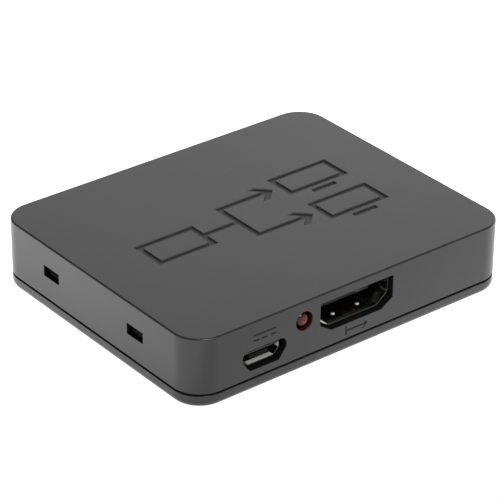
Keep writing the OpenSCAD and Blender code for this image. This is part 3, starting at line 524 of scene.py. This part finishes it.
def solder_mask(tree, place, base, track, tin):
    """Satin green lacquer on the board: copper tracks show through as paler lines, vias as tinned dots."""
    # Cells about 3 mm wide with square and slanted borders: the borders are the tracks.
    near, next_near = (
        node(
            tree,
            "TexVoronoi",
            {"Scale": 1 / (3 * MM)},
            {"Vector": place},
            voronoi_dimensions="2D",
            distance="MANHATTAN",
            feature=feature,
        )
        for feature in ("F1", "F2")
    )
    apart = {0: (next_near, "Distance"), 1: (near, "Distance")}
    border = node(tree, "Math", links=apart, operation="SUBTRACT")
    # Tracks about 0.2 mm wide.
    copper = node(tree, "MapRange", {"From Min": 0.12, "From Max": 0.09}, {"Value": (border, "Value")})
    # Vias about 0.5 mm wide, one in about 5 mm.
    holes = node(tree, "TexVoronoi", {"Scale": 1 / (5 * MM)}, {"Vector": place}, voronoi_dimensions="2D")
    via = node(tree, "MapRange", {"From Min": 0.055, "From Max": 0.045}, {"Value": (holes, "Distance")})
    green = node(tree, "Mix", {"A": base, "B": track}, {"Factor": (copper, "Result")}, data_type="RGBA")
    dots = {"Factor": (via, "Result"), "A": (green, "Result")}
    tone = node(tree, "Mix", {"B": tin}, dots, data_type="RGBA")
    bump = node(tree, "Bump", {"Strength": 0.5, "Distance": 0.03 * MM}, {"Height": (copper, "Result")})
    links = {"Base Color": (tone, "Result"), "Metallic": (via, "Result"), "Normal": (bump, "Normal")}
    return node(tree, "BsdfPrincipled", {"Roughness": 0.32, "IOR": 1.5}, links)


def marked_can(tree, place, base, mark):
    """Satin drawn aluminium with the dark printed segment that marks one pole on the top of a capacitor."""
    # The segment starts 1.2 mm to the left of the cans' axes and goes just over the edge of their tops.
    axis_x, top_z = -22.5, 9.45
    apart = node(tree, "SeparateXYZ", links={"Vector": place})
    outer = node(tree, "Math", {1: (axis_x - 1.2) * MM}, {0: (apart, "X")}, operation="LESS_THAN")
    above = node(tree, "Math", {1: (top_z - 0.03) * MM}, {0: (apart, "Z")}, operation="GREATER_THAN")
    both = {0: (outer, "Value"), 1: (above, "Value")}
    printed = (node(tree, "Math", links=both, operation="MULTIPLY"), "Value")
    tone = node(tree, "Mix", {"A": base, "B": mark}, {"Factor": printed}, data_type="RGBA")
    metal = node(tree, "Math", {0: 1.0}, {1: printed}, operation="SUBTRACT")
    # The drawing lines are about 0.1 mm apart and are drawn at 0.2 mm, stretched up the can.
    drawn = node(tree, "Mapping", {"Scale": (1, 1, 0.05)}, {"Vector": place})
    _, gloss = grained(tree, (drawn, "Vector"), 0.2, 0.28, 0.42)
    links = {"Base Color": (tone, "Result"), "Metallic": (metal, "Value"), "Roughness": gloss}
    return node(tree, "BsdfPrincipled", links=links)


def tinted_epoxy(tree, place, base, rim):
    """Cast epoxy tinted red: a glossy skin over a body that is paler over its cup and deep red beside it,
    where the deep red is also painted shade from the hole.
    """
    # The cup in the lens is about 1.6 mm wide, and the resin blurs its edge.
    centre = {"Location": (-LAMP_X * MM, 0, -LAMP_Z * MM), "Scale": (1, 0, 1)}
    axis = node(tree, "Mapping", centre, {"Vector": place})
    away = node(tree, "VectorMath", links={0: (axis, "Vector")}, operation="LENGTH")
    edge = {"From Min": 0.5 * MM, "From Max": 1.0 * MM}
    beside = node(tree, "MapRange", edge, {"Value": (away, "Value")})
    # Painted shade: the deep red towards the rim stands in for the hole's shade on the lens, as well as the
    # cup's edge.
    tone = node(tree, "Mix", {"A": base, "B": rim}, {"Factor": (beside, "Result")}, data_type="RGBA")
    # A faint haze over about 0.6 mm, where the resin shrank.
    haze = node(tree, "TexNoise", {"Scale": 1 / (0.6 * MM), "Detail": 1.0}, {"Vector": place})
    gloss = node(tree, "MapRange", {"To Min": 0.1, "To Max": 0.16}, {"Value": (haze, "Fac")})
    resin = {"IOR": 1.53, "Specular IOR Level": 0.35, "Transmission Weight": 0.2}
    links = {"Base Color": (tone, "Result"), "Roughness": (gloss, "Result")}
    return node(tree, "BsdfPrincipled", resin, links)


def lit_floor(tree, place, base):
    """White light table, too bright for a shadow: strongest behind the box and on its left."""
    rises = []
    # Each way with the millimetres over which the light rises, and its strength before and after.
    for way, start, end, dim, bright in (
        ((0.624, 0.781, 0.0), -45, 10, 1.0, 1.6),
        ((-1.0, 0.0, 0.0), 31, 42, 0.0, 0.5),
    ):
        along = node(tree, "VectorMath", {1: way}, {0: place}, operation="DOT_PRODUCT")
        span = {"From Min": start * MM, "From Max": end * MM, "To Min": dim, "To Max": bright}
        rise = node(tree, "MapRange", span, {"Value": (along, "Value")}, interpolation_type="SMOOTHSTEP")
        rises.append((rise, "Result"))
    both = node(tree, "Math", links=dict(enumerate(rises)), operation="ADD")
    return node(tree, "Emission", {"Color": base}, {"Strength": (both, "Value")})


# Pieces


class SPLITTER_OT_upper_cover(bpy.types.Operator):
    """Upper cover: roof and walls with the ports, the lamp's hole, the snap windows and the marks"""

    bl_idname = "splitter.upper_cover"
    bl_label = "Upper cover"

    def execute(self, context):
        s, c = settings_of(context.scene)
        width, height, wall = s["width"], s["height"], s["wall"]
        front, back = -s["depth"] / 2, s["depth"] / 2
        seat = s["rim"] + s["line_height"]
        ceiling = height - s["roof"]

        # The land reaches into the cover by an overlap, and the hollow and the posts run past its ends.
        overlap, past, run = 0.4, 1, 9

        cover = case_block(s, "upper_cover", 0, seat, height, high=s["roof_round"])
        land = case_block(s, "land", s["line_depth"], s["rim"], seat + overlap)
        hollow = case_block(s, "hollow", wall, s["rim"] - past, ceiling)
        posts = [round_bar("post", POST_RADIUS, run, (x, y, BOARD_TOP + run / 2)) for x, y in POSTS]
        for block in (cover, land, hollow):
            divide(block, (0, 0, LAMP_Z), (0, 0, 1))
            divide(block, (POWER_X, 0, 0), (1, 0, 0))
            for y in (-POST_Y, -SNAP_Y, SNAP_Y, POST_Y):
                divide(block, (0, y, 0), (0, 1, 0))
        combine(cover, land, operation="UNION")
        combine(hollow, *posts)
        combine(cover, hollow)

        video = dict(wide=14.74, high=5.35, flat=10.4, corner=1.4, rounding=0.3, low=5.2)
        power = dict(wide=8.5, high=3.55, flat=5.6, corner=1.9, rounding=1.1, low=3.75)
        lamp_radius = 1.625
        combine(
            cover,
            self.port(0, front, wall, **video),
            self.port(OUTPUT_X, back, wall, **video),
            self.port(-OUTPUT_X, back, wall, **video),
            self.port(POWER_X, front, wall, **power),
            round_bar("lamp_hole", lamp_radius, 2 * wall, (LAMP_X, front + wall / 2, LAMP_Z), "Y", 64),
        )
        window_wide, window_high, window_z = 4.1, 1.85, 7.375
        for side, y in SNAPS:
            place = (side * (width / 2 - wall / 2), y, window_z)
            combine(cover, box_at("window", (2 * wall, window_wide, window_high), place))
        break_edges(cover, s["edge_break"])
        combine(cover, *self.roof_mark(s), *self.face_marks(s, front, back))
        even_shading(merge_leftovers(cover))
        dress(cover, finish("ABS, charcoal, upper", moulded_abs, c.case, c.case_light))

        # A depth just past the marks' floors, half a face mark's width, and the heights of the marks' zones
        mark_floor, mark_half = 1.1 * s["mark_depth"], 2.4
        zone_low, zone_high, over_low, over_high = 3, 4.7, 8.5, 10

        def in_face_mark(p):
            over_power = p.y < 0 and abs(p.x - POWER_X) < mark_half and over_low < p.z < over_high
            socket_x = OUTPUT_X if p.y > 0 else 0
            under_video = abs(abs(p.x) - socket_x) < mark_half and zone_low < p.z < zone_high
            return (over_power or under_video) and SKIN < back - abs(p.y) < mark_floor

        # The walls of the ports and snap windows, which get the near-black colour as painted shade.
        def is_shaded_port_wall(p, n):
            in_face = wall > back - abs(p.y) > SKIN and abs(n.y) < ACROSS and abs(p.x) < POST_X
            if in_face and zone_low < p.z < ceiling:
                return not in_face_mark(p)
            in_side = wall > width / 2 - abs(p.x) > SKIN and abs(n.x) < ACROSS and abs(p.y) < POST_Y
            return in_side and abs(p.z - window_z) < window_high / 2 + CUT_EDGE / 2

        def in_lamp_hole(p, n):
            in_front = p.y < 0 and is_shaded_port_wall(p, n)
            return in_front and math.hypot(p.x - LAMP_X, p.z - LAMP_Z) < 1.1 * lamp_radius

        def in_roof_mark(p):
            inside = abs(p.x) < width / 2 - s["corner"] and abs(p.y) < back - s["corner"]
            return inside and SKIN < height - p.z < mark_floor

        def is_mark_floor(p, n):
            return in_roof_mark(p) and n.z > STRAIGHT

        def is_mark_wall(p, n):
            return in_roof_mark(p) and n.z <= STRAIGHT or in_face_mark(p) and abs(n.y) <= STRAIGHT

        # Painted shade: the near-black colour on the walls of the ports and the snap windows.
        paint(cover, is_shaded_port_wall, "ABS, charcoal, port walls", moulded_resin, c.port, 0.6, 0.75, 0.3, 0.15)
        # Painted light: the wall of the lamp's hole is painted red, as if lit through the lens.
        paint(cover, in_lamp_hole, "ABS, charcoal, lit red", moulded_resin, c.lens_glow, 0.45, 0.55, 0.3, 0.3)
        floors = "ABS, charcoal, mark floors"
        paint(cover, is_mark_floor, floors, moulded_abs, c.case, c.case_light, 0.46, 0.54)
        # Painted light: the marks' walls get the paler colour, standing in for light falling on them.
        paint(cover, is_mark_wall, "ABS, charcoal, mark walls", moulded_resin, c.case_lit_walls, 0.45, 0.55, 0.3)
        settle(cover, "cover", "case_plastic", "top_cover")
        return {"FINISHED"}

    def port(self, x, face, wall, wide, high, flat, corner, rounding, low):
        """Cutter for a port: slanted lower corners and rounded upper ones."""
        inward = 1 if face < 0 else -1
        tool = box_at("port", (wide, 3 * wall, high), (x, face + inward * wall / 2, low + high / 2))
        run = (wide - flat) / 2
        for side in (-1, 1):
            trim(tool, (x + side * flat / 2, face, low), (side * corner, 0, -run))
        top = low + high - NEAR
        round_edges(tool, rounding, segments=8, test=lambda p, d: abs(d.y) > ALONG and p.z > top)
        return tool

    def roof_mark(self, s):
        """Cutters for the mark on the roof: one box feeding two screens."""
        stroke, deep, top = s["mark_stroke"], 2 * s["mark_depth"], s["height"]
        box_wide, box_tall = 11.6, 7
        screen_wide, screen_tall, foot = 12.4, 6.4, 5
        screen_x, branch_y, fork, tip, arrow = 15.6, 5.2, -2.5, 8.2, 2.2
        overlap = 0.05

        def bar(wide, tall, x, y):
            return box_at("bar", (wide, tall, deep), (x, y, top))

        def line(start, end, y):
            return bar(end - start + overlap, stroke, (start + end - overlap) / 2, y)

        def ring(wide, tall, x, y):
            inner = box_at("inner", (wide - 2 * stroke, tall - 2 * stroke, 2 * deep), (x, y, top))
            return combine(bar(wide, tall, x, y), inner)

        strokes = [
            line(box_wide / 2 - screen_x, fork - stroke / 2, 0),
            bar(stroke, 2 * branch_y + stroke, fork - stroke / 2, 0),
        ]
        apart = []
        for y in (-branch_y, branch_y):
            strokes.append(line(fork, tip - stroke, y))
            strokes.append(self.arrow_head((tip, y, top), arrow, stroke, deep, "Y"))
            apart.append(ring(screen_wide, screen_tall, screen_x, y))
            apart.append(bar(foot, stroke, screen_x, y - screen_tall / 2 - stroke))
        box = ring(box_wide, box_tall, -screen_x, 0)
        return [merge_leftovers(combine(box, *strokes, operation="UNION"), flat=True), *apart]

    def arrow_head(self, tip, half, stroke, deep, across):
        """Cutter for an open arrow head along +X: two strokes at right angles, spread along Y or Z."""

        def wedge(x, reach, thick):
            flat = across == "Y"
            size = (2 * reach, 2 * reach, thick) if flat else (2 * reach, thick, 2 * reach)
            tool = box_at("wedge", size, (x - reach, *tip[1:]))
            for side in (-1, 1):
                trim(tool, (x, *tip[1:]), (1, side, 0) if flat else (1, 0, side))
            return tool

        inner = tip[0] - stroke * math.sqrt(2)
        return combine(wedge(tip[0], half, deep), wedge(inner, 1.5 * half, 2 * deep))

    def face_marks(self, s, front, back):
        """Cutters for the small marks in the port faces."""
        deep, stroke = 2 * s["mark_depth"], 0.36
        line, line_z, dash, dash_pitch, dash_z = 4.4, 9.7, 1.1, 1.65, 8.8
        arrow, arrow_half = 4.6, 0.75
        tick_wide, tick_tall, tick_offset = 0.4, 1.3, 0.45
        low_z = 3.835

        def bar(wide, tall, x, face, z):
            return box_at("bar", (wide, deep, tall), (x, face, z))

        tools = [bar(line, stroke, POWER_X, front, line_z)]
        tools += [bar(dash, stroke, POWER_X + k * dash_pitch, front, dash_z) for k in (-1, 0, 1)]
        pointer = combine(
            bar(stroke, 2 * arrow_half, -arrow / 2 + stroke / 2, front, low_z),
            bar(arrow - stroke, stroke, -stroke / 2, front, low_z),
            self.arrow_head((arrow / 2, front, low_z), arrow_half, stroke, deep, "Z"),
            operation="UNION",
        )
        tools.append(merge_leftovers(pointer, flat=True))
        for x in (OUTPUT_X, -OUTPUT_X - tick_offset, -OUTPUT_X + tick_offset):
            tools.append(bar(tick_wide, tick_tall, x, back, low_z))
        return tools


class SPLITTER_OT_lower_cover(bpy.types.Operator):
    """Lower cover: plate with a rounded edge, rim, locating lip, board posts and pins"""

    bl_idname = "splitter.lower_cover"
    bl_label = "Lower cover"

    def execute(self, context):
        s, c = settings_of(context.scene)
        plate = s["plate"]
        # How far the lip's outer and inner faces stand in from the case's, and how high it reaches.
        lip, tray, lip_top = 1.35, 2.25, 3.32
        notch_size, notch_x = (1.4, 4.2, lip_top), 29.95
        # The ridge, the posts and the pins start inside the plate, so that they fuse with it.
        foot, post_run, pin_radius, pin_run = 1, 1.45, 0.9, 2.95

        cover = case_block(s, "lower_cover", 0, 0, s["rim"], low=s["base_round"])
        combine(cover, case_block(s, "ridge", lip, foot, lip_top), operation="UNION")
        combine(cover, case_block(s, "hollow", tray, plate, plate + lip_top))
        for side, y in SNAPS:
            combine(cover, box_at("notch", notch_size, (side * notch_x, y, plate + lip_top / 2)))
        for x, y in POSTS:
            post = round_bar("post", POST_RADIUS, post_run, (x, y, foot + post_run / 2))
            pin = round_bar("pin", pin_radius, pin_run, (x, y, foot + pin_run / 2), sides=32)
            combine(cover, post, pin, operation="UNION")
        soften(cover, s["edge_break"])
        dress(cover, finish("ABS, charcoal, lower", moulded_abs, c.case, c.case_light))
        settle(cover, "base", "case_plastic", "bottom_cover")
        return {"FINISHED"}


def folded_shell(name, sheet, fold, wide, high, flat, corner, low, run):
    """Sheet folded to a socket's outline, open at both ends, its mouth at y = 0."""
    obj = box_at(name, (wide + 2 * sheet, run, high + 2 * sheet), (0, run / 2, low + high / 2))
    slant = Vector((corner, 0, -(wide - flat) / 2)).normalized()
    for side in (-1, 1):
        normal = Vector((side * slant.x, 0, slant.z))
        trim(obj, Vector((side * flat / 2, 0, low)) + normal * sheet, normal)
    with editing(obj):
        select_where(obj, "FACE", lambda p, n: abs(n.y) > ALONG)
        bpy.ops.mesh.delete(type="ONLY_FACE")
    round_edges(obj, fold, segments=5, test=lambda p, d: abs(d.y) > ALONG)
    apply_modifier(obj, "SOLIDIFY", thickness=sheet * MM, offset=-1, use_even_offset=True)
    return obj


def shell_legs(sheet, wide, across, run, top, starts):
    """Legs that run down from the sides of a shell and through the board."""
    x = (wide + sheet) / 2
    return [
        box_at("leg", (sheet, across, run), (side * x, y + across / 2, top - run / 2))
        for side in (-1, 1)
        for y in starts
    ]


class SPLITTER_OT_video_shells(bpy.types.Operator):
    """Folded steel shells of the video sockets, modelled once and copied"""

    bl_idname = "splitter.video_shells"
    bl_label = "Video socket shells"

    def execute(self, context):
        s, c = settings_of(context.scene)
        t = s["sheet"]
        mouth = dict(wide=14.0, high=4.55, flat=10.0, corner=1.75, low=1.6, run=11.0)
        floor, ceiling = mouth["low"], mouth["low"] + mouth["high"]
        leaf_x, leaf_wide, leaf_start, leaf_run = 2.5, 2.2, 0.8, 6.375
        # The floor ends early, at the insulator.
        end_wide, end_start, end_run, end_z = 9.7, 8.4, 3, 1.2
        slot_tall = 1

        shell = folded_shell("shell", t, s["fold"], **mouth)
        slots = [
            box_at("slot", (leaf_wide, leaf_run, slot_tall), (x, leaf_start + leaf_run / 2, z))
            for x in (-leaf_x, leaf_x)
            for z in (floor - t / 2, ceiling + t / 2)
        ]
        slots.append(box_at("slot", (end_wide, end_run, slot_tall), (0, end_start + end_run / 2, end_z)))
        for x in (-leaf_x, leaf_x):
            divide(shell, (x, 0, 0), (1, 0, 0))
        combine(shell, *slots)
        legs = shell_legs(t, mouth["wide"], across=1.0, run=5.65, top=3.35, starts=(3.4, 8.6))
        shell = soften(join("shell", [shell, *legs]), SHEET_BREAK)
        dress(shell, finish("Plated steel, video sockets", plated_steel, c.steel, 0.17, 0.25, ROLLED))

        # The cut edge is painted paler low down and darker the higher it is, and the bright plate is painted
        # over one lower corner: painted light, painted shade and a painted highlight on the rim.
        highlight_x, highlight_top, shade_low = -5.4, 3.4, 3.6

        def is_rim(p, n):
            return n.y < -0.2 and p.y < CUT_EDGE

        def is_painted_highlight(p, n):
            return p.y < CUT_EDGE and p.x < highlight_x and p.z < highlight_top

        def is_shaded_rim(p, n):
            return is_rim(p, n) and p.z > shade_low

        # Painted light and shade on the cut edge: paler below, darker above, and bright plate over one lower
        # corner as a painted highlight.
        paint(shell, is_rim, "Sheared steel, video sockets", sheared_steel, c.rim, 0.35, 0.5)
        smear = "Plated steel, video sockets, smeared"
        paint(shell, is_painted_highlight, smear, plated_steel, c.steel, 0.14, 0.22, ROLLED)
        upper = "Sheared steel, video sockets, upper"
        paint(shell, is_shaded_rim, upper, sheared_steel, c.sheared, 0.45, 0.65)
        for name, (place, turn) in VIDEO_SOCKETS.items():
            piece = copy_of(shell, name + "_steel_shell", place, turn)
            settle(piece, "base", "shell_steel", name + "_shell")
        bpy.data.objects.remove(shell, do_unlink=True)
        return {"FINISHED"}


class SPLITTER_OT_power_shell(bpy.types.Operator):
    """Folded steel shell of the power socket"""

    bl_idname = "splitter.power_shell"
    bl_label = "Power socket shell"

    def execute(self, context):
        s, c = settings_of(context.scene)
        t = s["sheet"]
        mouth = dict(wide=6.9, high=1.85, flat=5.0, corner=0.95, low=0.25, run=5.0)
        fold, mouth_y = 0.4, -24.94
        # Past the first two numbers, round the upper folds, the cut edges keep the bright plate as a painted
        # highlight; the other cut edges are bare and painted dark, partly as painted shade.
        # Matte tin is painted over the front of the floor, as far as the third number, and on one side above
        # the fourth: painted light where the light falls into the mouth, and a painted highlight on that
        # side.
        bright_x, bright_z, lit_run, highlight_low = 3.1, 1.7, 0.95, 1.3

        shell = folded_shell("power_steel", t, fold, **mouth)
        legs = shell_legs(t, mouth["wide"], across=0.8, run=3.5, top=1.2, starts=(2.1, 3.9))
        shell = join("power_steel", [shell, *legs])
        divide(shell, (0, lit_run, 0), (0, 1, 0))
        soften(shell, SHEET_BREAK)
        dress(shell, finish("Plated steel, power socket", plated_steel, c.steel, 0.14, 0.22, ROLLED))

        def is_bare(p, n):
            left_bright = abs(p.x) > bright_x and p.z > bright_z
            return n.y < -ALONG and p.y < CUT_EDGE and not left_bright

        def is_painted_lit(p, n):
            on_floor = n.z > ALONG and abs(p.z - mouth["low"]) < CUT_EDGE / 2
            on_side = n.x < -0.7 and 0 < mouth["wide"] / 2 + CUT_EDGE / 2 - p.x < t + CUT_EDGE / 2
            return p.y < lit_run and (on_floor or on_side and p.z > highlight_low)

        paint(shell, is_bare, "Sheared steel, power socket", sheared_steel, c.sheared, 0.45, 0.65)
        # Painted light: the matte tin on the front of the floor and on the upper side, where the light falls.
        paint(shell, is_painted_lit, "Matte tin, power socket", matte_tin, c.tin)
        piece = copy_of(shell, "power_steel_shell", (POWER_X, mouth_y, BOARD_TOP))
        settle(piece, "base", "power_steel", "power_shell")
        bpy.data.objects.remove(shell, do_unlink=True)
        return {"FINISHED"}


class SPLITTER_OT_lamp(bpy.types.Operator):
    """Red lens of the lamp: dome, barrel and flange"""

    bl_idname = "splitter.lamp"
    bl_label = "Lamp"

    def execute(self, context):
        s, c = settings_of(context.scene)
        radius = s["lens"] / 2
        barrel, flange, flange_run, edge = 2.9, 0.2, 1.0, 0.05
        start_clean()
        bpy.ops.mesh.primitive_uv_sphere_add(
            segments=48, ring_count=24, radius=radius * MM, rotation=(math.pi / 2, 0, 0)
        )
        lens = bpy.context.object
        lens.name = lens.data.name = "lamp_red_lens"
        bpy.ops.object.transform_apply()
        grow = (radius + flange) / radius
        with editing(lens):
            bpy.ops.mesh.bisect(plane_co=(0, 0, 0), plane_no=(0, 1, 0), clear_outer=True)
            select_where(lens, "EDGE", lambda p, d: p.y > -NEAR)
            bpy.ops.mesh.extrude_edges_move(TRANSFORM_OT_translate={"value": (0, barrel * MM, 0)})
            bpy.ops.mesh.extrude_edges_move(TRANSFORM_OT_translate={"value": (0, 0, 0)})
            bpy.ops.transform.resize(value=(grow, 1, grow))
            bpy.ops.mesh.extrude_edges_move(TRANSFORM_OT_translate={"value": (0, flange_run * MM, 0)})
            bpy.ops.mesh.edge_face_add()
            bpy.ops.mesh.select_all(action="SELECT")
            bpy.ops.mesh.normals_make_consistent(inside=False)
            bpy.ops.transform.translate(value=(LAMP_X * MM, CAD_LOW.y + radius * MM, LAMP_Z * MM))
        soften(lens, edge)
        dress(lens, finish("Tinted epoxy, red", tinted_epoxy, c.lens, c.lens_rim_shaded))
        settle(lens, "base", "lens_red", "lamp_lens")
        return {"FINISHED"}


class SPLITTER_OT_carried_over(bpy.types.Operator):
    """Finishes of the pieces that keep their CAD shape"""

    bl_idname = "splitter.carried_over"
    bl_label = "Carried-over pieces"

    def execute(self, context):
        c = context.scene.splitter_colours
        leaves = [s + row for s in VIDEO_SOCKETS for row in ("_upper_leaves", "_lower_leaves")]
        contacts = [s + "_contacts" for s in (*VIDEO_SOCKETS, "power")]
        blacks = [*[s + "_insulator" for s in VIDEO_SOCKETS], "bulk_capacitor_bases"]
        matte = finish("Moulded nylon, black, matte", moulded_resin, c.socket, 0.6, 0.75, 0.3, 0.15)
        leads = [s + "_leads" for s in ("lamp", "splitter_chip", "regulator", "memory_chip")]
        ends = ["ceramic_capacitor_ends", "chip_resistor_ends"]
        chips = ["splitter_chip", "regulator", "memory_chip", "surge_arrays", "chip_resistors"]
        for material, nodes in (
            # Painted shade: the snap tongues get the ports' near-black, so they read as shaded inside their
            # windows.
            (finish("ABS, charcoal, tongues", moulded_resin, c.port, 0.6, 0.75, 0.3, 0.15), ["snap_tongues"]),
            (finish("Solder mask, green", solder_mask, c.board, c.track, c.tin), ["circuit_board"]),
            # Painted highlight on the leaves' domes and painted shade on their sides, in the tinned spring
            # steel's colours.
            (finish("Tinned spring steel", spring_steel, c.steel, c.tin, c.socket), leaves),
            (finish("Gold-plated bronze", plated_steel, c.gold, 0.2, 0.3, (1, 0.2, 1)), contacts),
            (finish("Moulded nylon, black", moulded_resin, c.socket, 0.28, 0.36, 0.3), blacks),
            (matte, ["power_insulator"]),
            (finish("Tinned copper", plated_steel, c.tin, 0.25, 0.4, (1, 1, 1)), leads + ends),
            (finish("Drawn steel can", plated_steel, c.steel, 0.2, 0.3, (0.2, 1, 1)), ["crystal"]),
            (finish("Satin aluminium, marked", marked_can, c.aluminium, c.mark), ["bulk_capacitor_cans"]),
            (finish("Moulded resin, black", moulded_resin, c.resin, 0.45, 0.6, 0.25), chips),
            (finish("Fired ceramic, tan", moulded_resin, c.ceramic, 0.4, 0.5, 0.2), ["ceramic_capacitors"]),
            (finish("Sintered ferrite", moulded_resin, c.ferrite, 0.5, 0.65, 0.2), ["power_coil"]),
        ):
            for name in nodes:
                dress(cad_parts[name], material)
        return {"FINISHED"}


class SPLITTER_OT_studio(bpy.types.Operator):
    """Pale floor, soft light and the camera at the photograph's angle"""

    bl_idname = "splitter.studio"
    bl_label = "Studio"

    def execute(self, context):
        self.floor(context)
        self.room(context)
        self.soft_light("front_light", place=(-0.05, -0.325, 0.375), size=0.2, power=1.0)
        self.camera(context)
        return {"FINISHED"}

    def floor(self, context):
        """A wide white floor just under the box."""
        start_clean()
        bpy.ops.mesh.primitive_plane_add(size=6, location=(0, 0, -0.03 * MM))
        floor = context.object
        floor.name = "floor"
        dress(floor, finish("Light table, white", lit_floor, context.scene.splitter_colours.floor))

    def room(self, context):
        """A pale room, brightest behind on the right, with glows low in front and overhead."""
        world = bpy.data.worlds.new("Pale room")
        context.scene.world = world
        world.use_nodes = True
        tree = world.node_tree
        tree.nodes.clear()
        place = (node(tree, "TexCoord"), "Generated")
        along = node(tree, "VectorMath", {1: (0.85, 0.5, -0.35)}, {0: place}, operation="DOT_PRODUCT")
        apart = node(tree, "SeparateXYZ", links={"Vector": place})
        rises = []
        # Each way with the range over which the light rises, and its strength before and after.
        for source, start, end, dim, bright in (
            ((along, "Value"), 0.26, 0.9, 0.2, 1.62),
            ((apart, "Y"), 0.0, -0.5, 0.0, 0.5),
            ((apart, "Z"), 0.6, 0.3, 0.0, 1.0),
            ((apart, "Z"), 0.9, 0.98, 0.0, 0.7),
        ):
            span = {"From Min": start, "From Max": end, "To Min": dim, "To Max": bright}
            rise = node(tree, "MapRange", span, {"Value": source}, interpolation_type="SMOOTHSTEP")
            rises.append((rise, "Result"))
        behind, ahead, low, overhead = rises
        band = node(tree, "Math", links={0: ahead, 1: low}, operation="MULTIPLY")
        glows = node(tree, "Math", links={0: (band, "Value"), 1: overhead}, operation="ADD")
        total = node(tree, "Math", links={0: behind, 1: (glows, "Value")}, operation="ADD")
        light = node(tree, "Background", {"Color": (1, 1, 1, 1)}, {"Strength": (total, "Value")})
        node(tree, "OutputWorld", links={"Surface": (light, "Background")})

    def soft_light(self, name, place, size, power):
        """A square area light aimed at the middle of the box."""
        data = bpy.data.lights.new(name, "AREA")
        data.size = size
        data.energy = power
        lamp = bpy.data.objects.new(name, data)
        bpy.context.scene.collection.objects.link(lamp)
        lamp.visible_camera = False
        lamp.location = place
        aim = Vector((0, 0, 6 * MM)) - Vector(place)
        lamp.rotation_euler = aim.to_track_quat("-Z", "Y").to_euler()

    def camera(self, context):
        """The photograph's camera, fitted to the edges of the case."""
        azimuth, elevation, roll = (math.radians(v) for v in (-38.6276, 29.5397, 0.5138))
        # The distance and the shifts are in millimetres from an aim in the box, the focal length in pixels.
        aim, distance, shift_x, shift_y = Vector((0, 0, 7)), 416.25, -0.5117, -0.9430
        focal, photo_width, sensor = 2561.80, 500, 36
        level_x, level_y = math.sin(azimuth), -math.cos(azimuth)
        reach = math.cos(elevation)
        back = Vector((level_x * reach, level_y * reach, math.sin(elevation)))
        level = (-back).cross(Vector((0, 0, 1))).normalized()
        upright = level.cross(-back)
        right = math.cos(roll) * level + math.sin(roll) * upright
        up = math.cos(roll) * upright - math.sin(roll) * level
        place = aim + right * shift_x + up * shift_y + back * distance
        data = bpy.data.cameras.new("camera")
        data.sensor_width = sensor
        data.lens = focal / photo_width * sensor
        data.clip_start = 0.01
        data.clip_end = 20
        camera = bpy.data.objects.new("camera", data)
        context.scene.collection.objects.link(camera)
        turn = Matrix((right, up, back)).transposed().to_4x4()
        camera.matrix_world = Matrix.Translation(place * MM) @ turn
        context.scene.camera = camera
        context.scene.view_settings.view_transform = "Standard"
        context.scene.view_settings.look = "None"


class SPLITTER_PT_panel(bpy.types.Panel):
    """Lists the sizes, the colours and the pieces in the sidebar."""

    bl_label = "Splitter"
    bl_idname = "SPLITTER_PT_panel"
    bl_space_type = "VIEW_3D"
    bl_region_type = "UI"
    bl_category = "Splitter"

    def draw(self, context):
        for group in (context.scene.splitter_sizes, context.scene.splitter_colours):
            column = self.layout.column(align=True)
            for key in own_keys(group):
                column.prop(group, key)
        column = self.layout.column()
        for operator in OPERATORS:
            column.operator(operator.bl_idname)


OPERATORS = (
    SPLITTER_OT_studio,
    SPLITTER_OT_upper_cover,
    SPLITTER_OT_lower_cover,
    SPLITTER_OT_video_shells,
    SPLITTER_OT_power_shell,
    SPLITTER_OT_lamp,
    SPLITTER_OT_carried_over,
)
CLASSES = (SplitterSizes, SplitterColours, *OPERATORS, SPLITTER_PT_panel)


def register():
    """Registers the classes and hangs the sizes and colours on the scene."""
    for cls in CLASSES:
        bpy.utils.register_class(cls)
    bpy.types.Scene.splitter_sizes = bpy.props.PointerProperty(type=SplitterSizes)
    bpy.types.Scene.splitter_colours = bpy.props.PointerProperty(type=SplitterColours)


def unregister():
    """Takes the sizes, the colours and the classes away again."""
    del bpy.types.Scene.splitter_colours
    del bpy.types.Scene.splitter_sizes
    for cls in reversed(CLASSES):
        bpy.utils.unregister_class(cls)


def main():
    register()
    for operator in OPERATORS:
        group, name = operator.bl_idname.split(".")
        getattr(getattr(bpy.ops, group), name)()


if __name__ == "__main__":
    main()
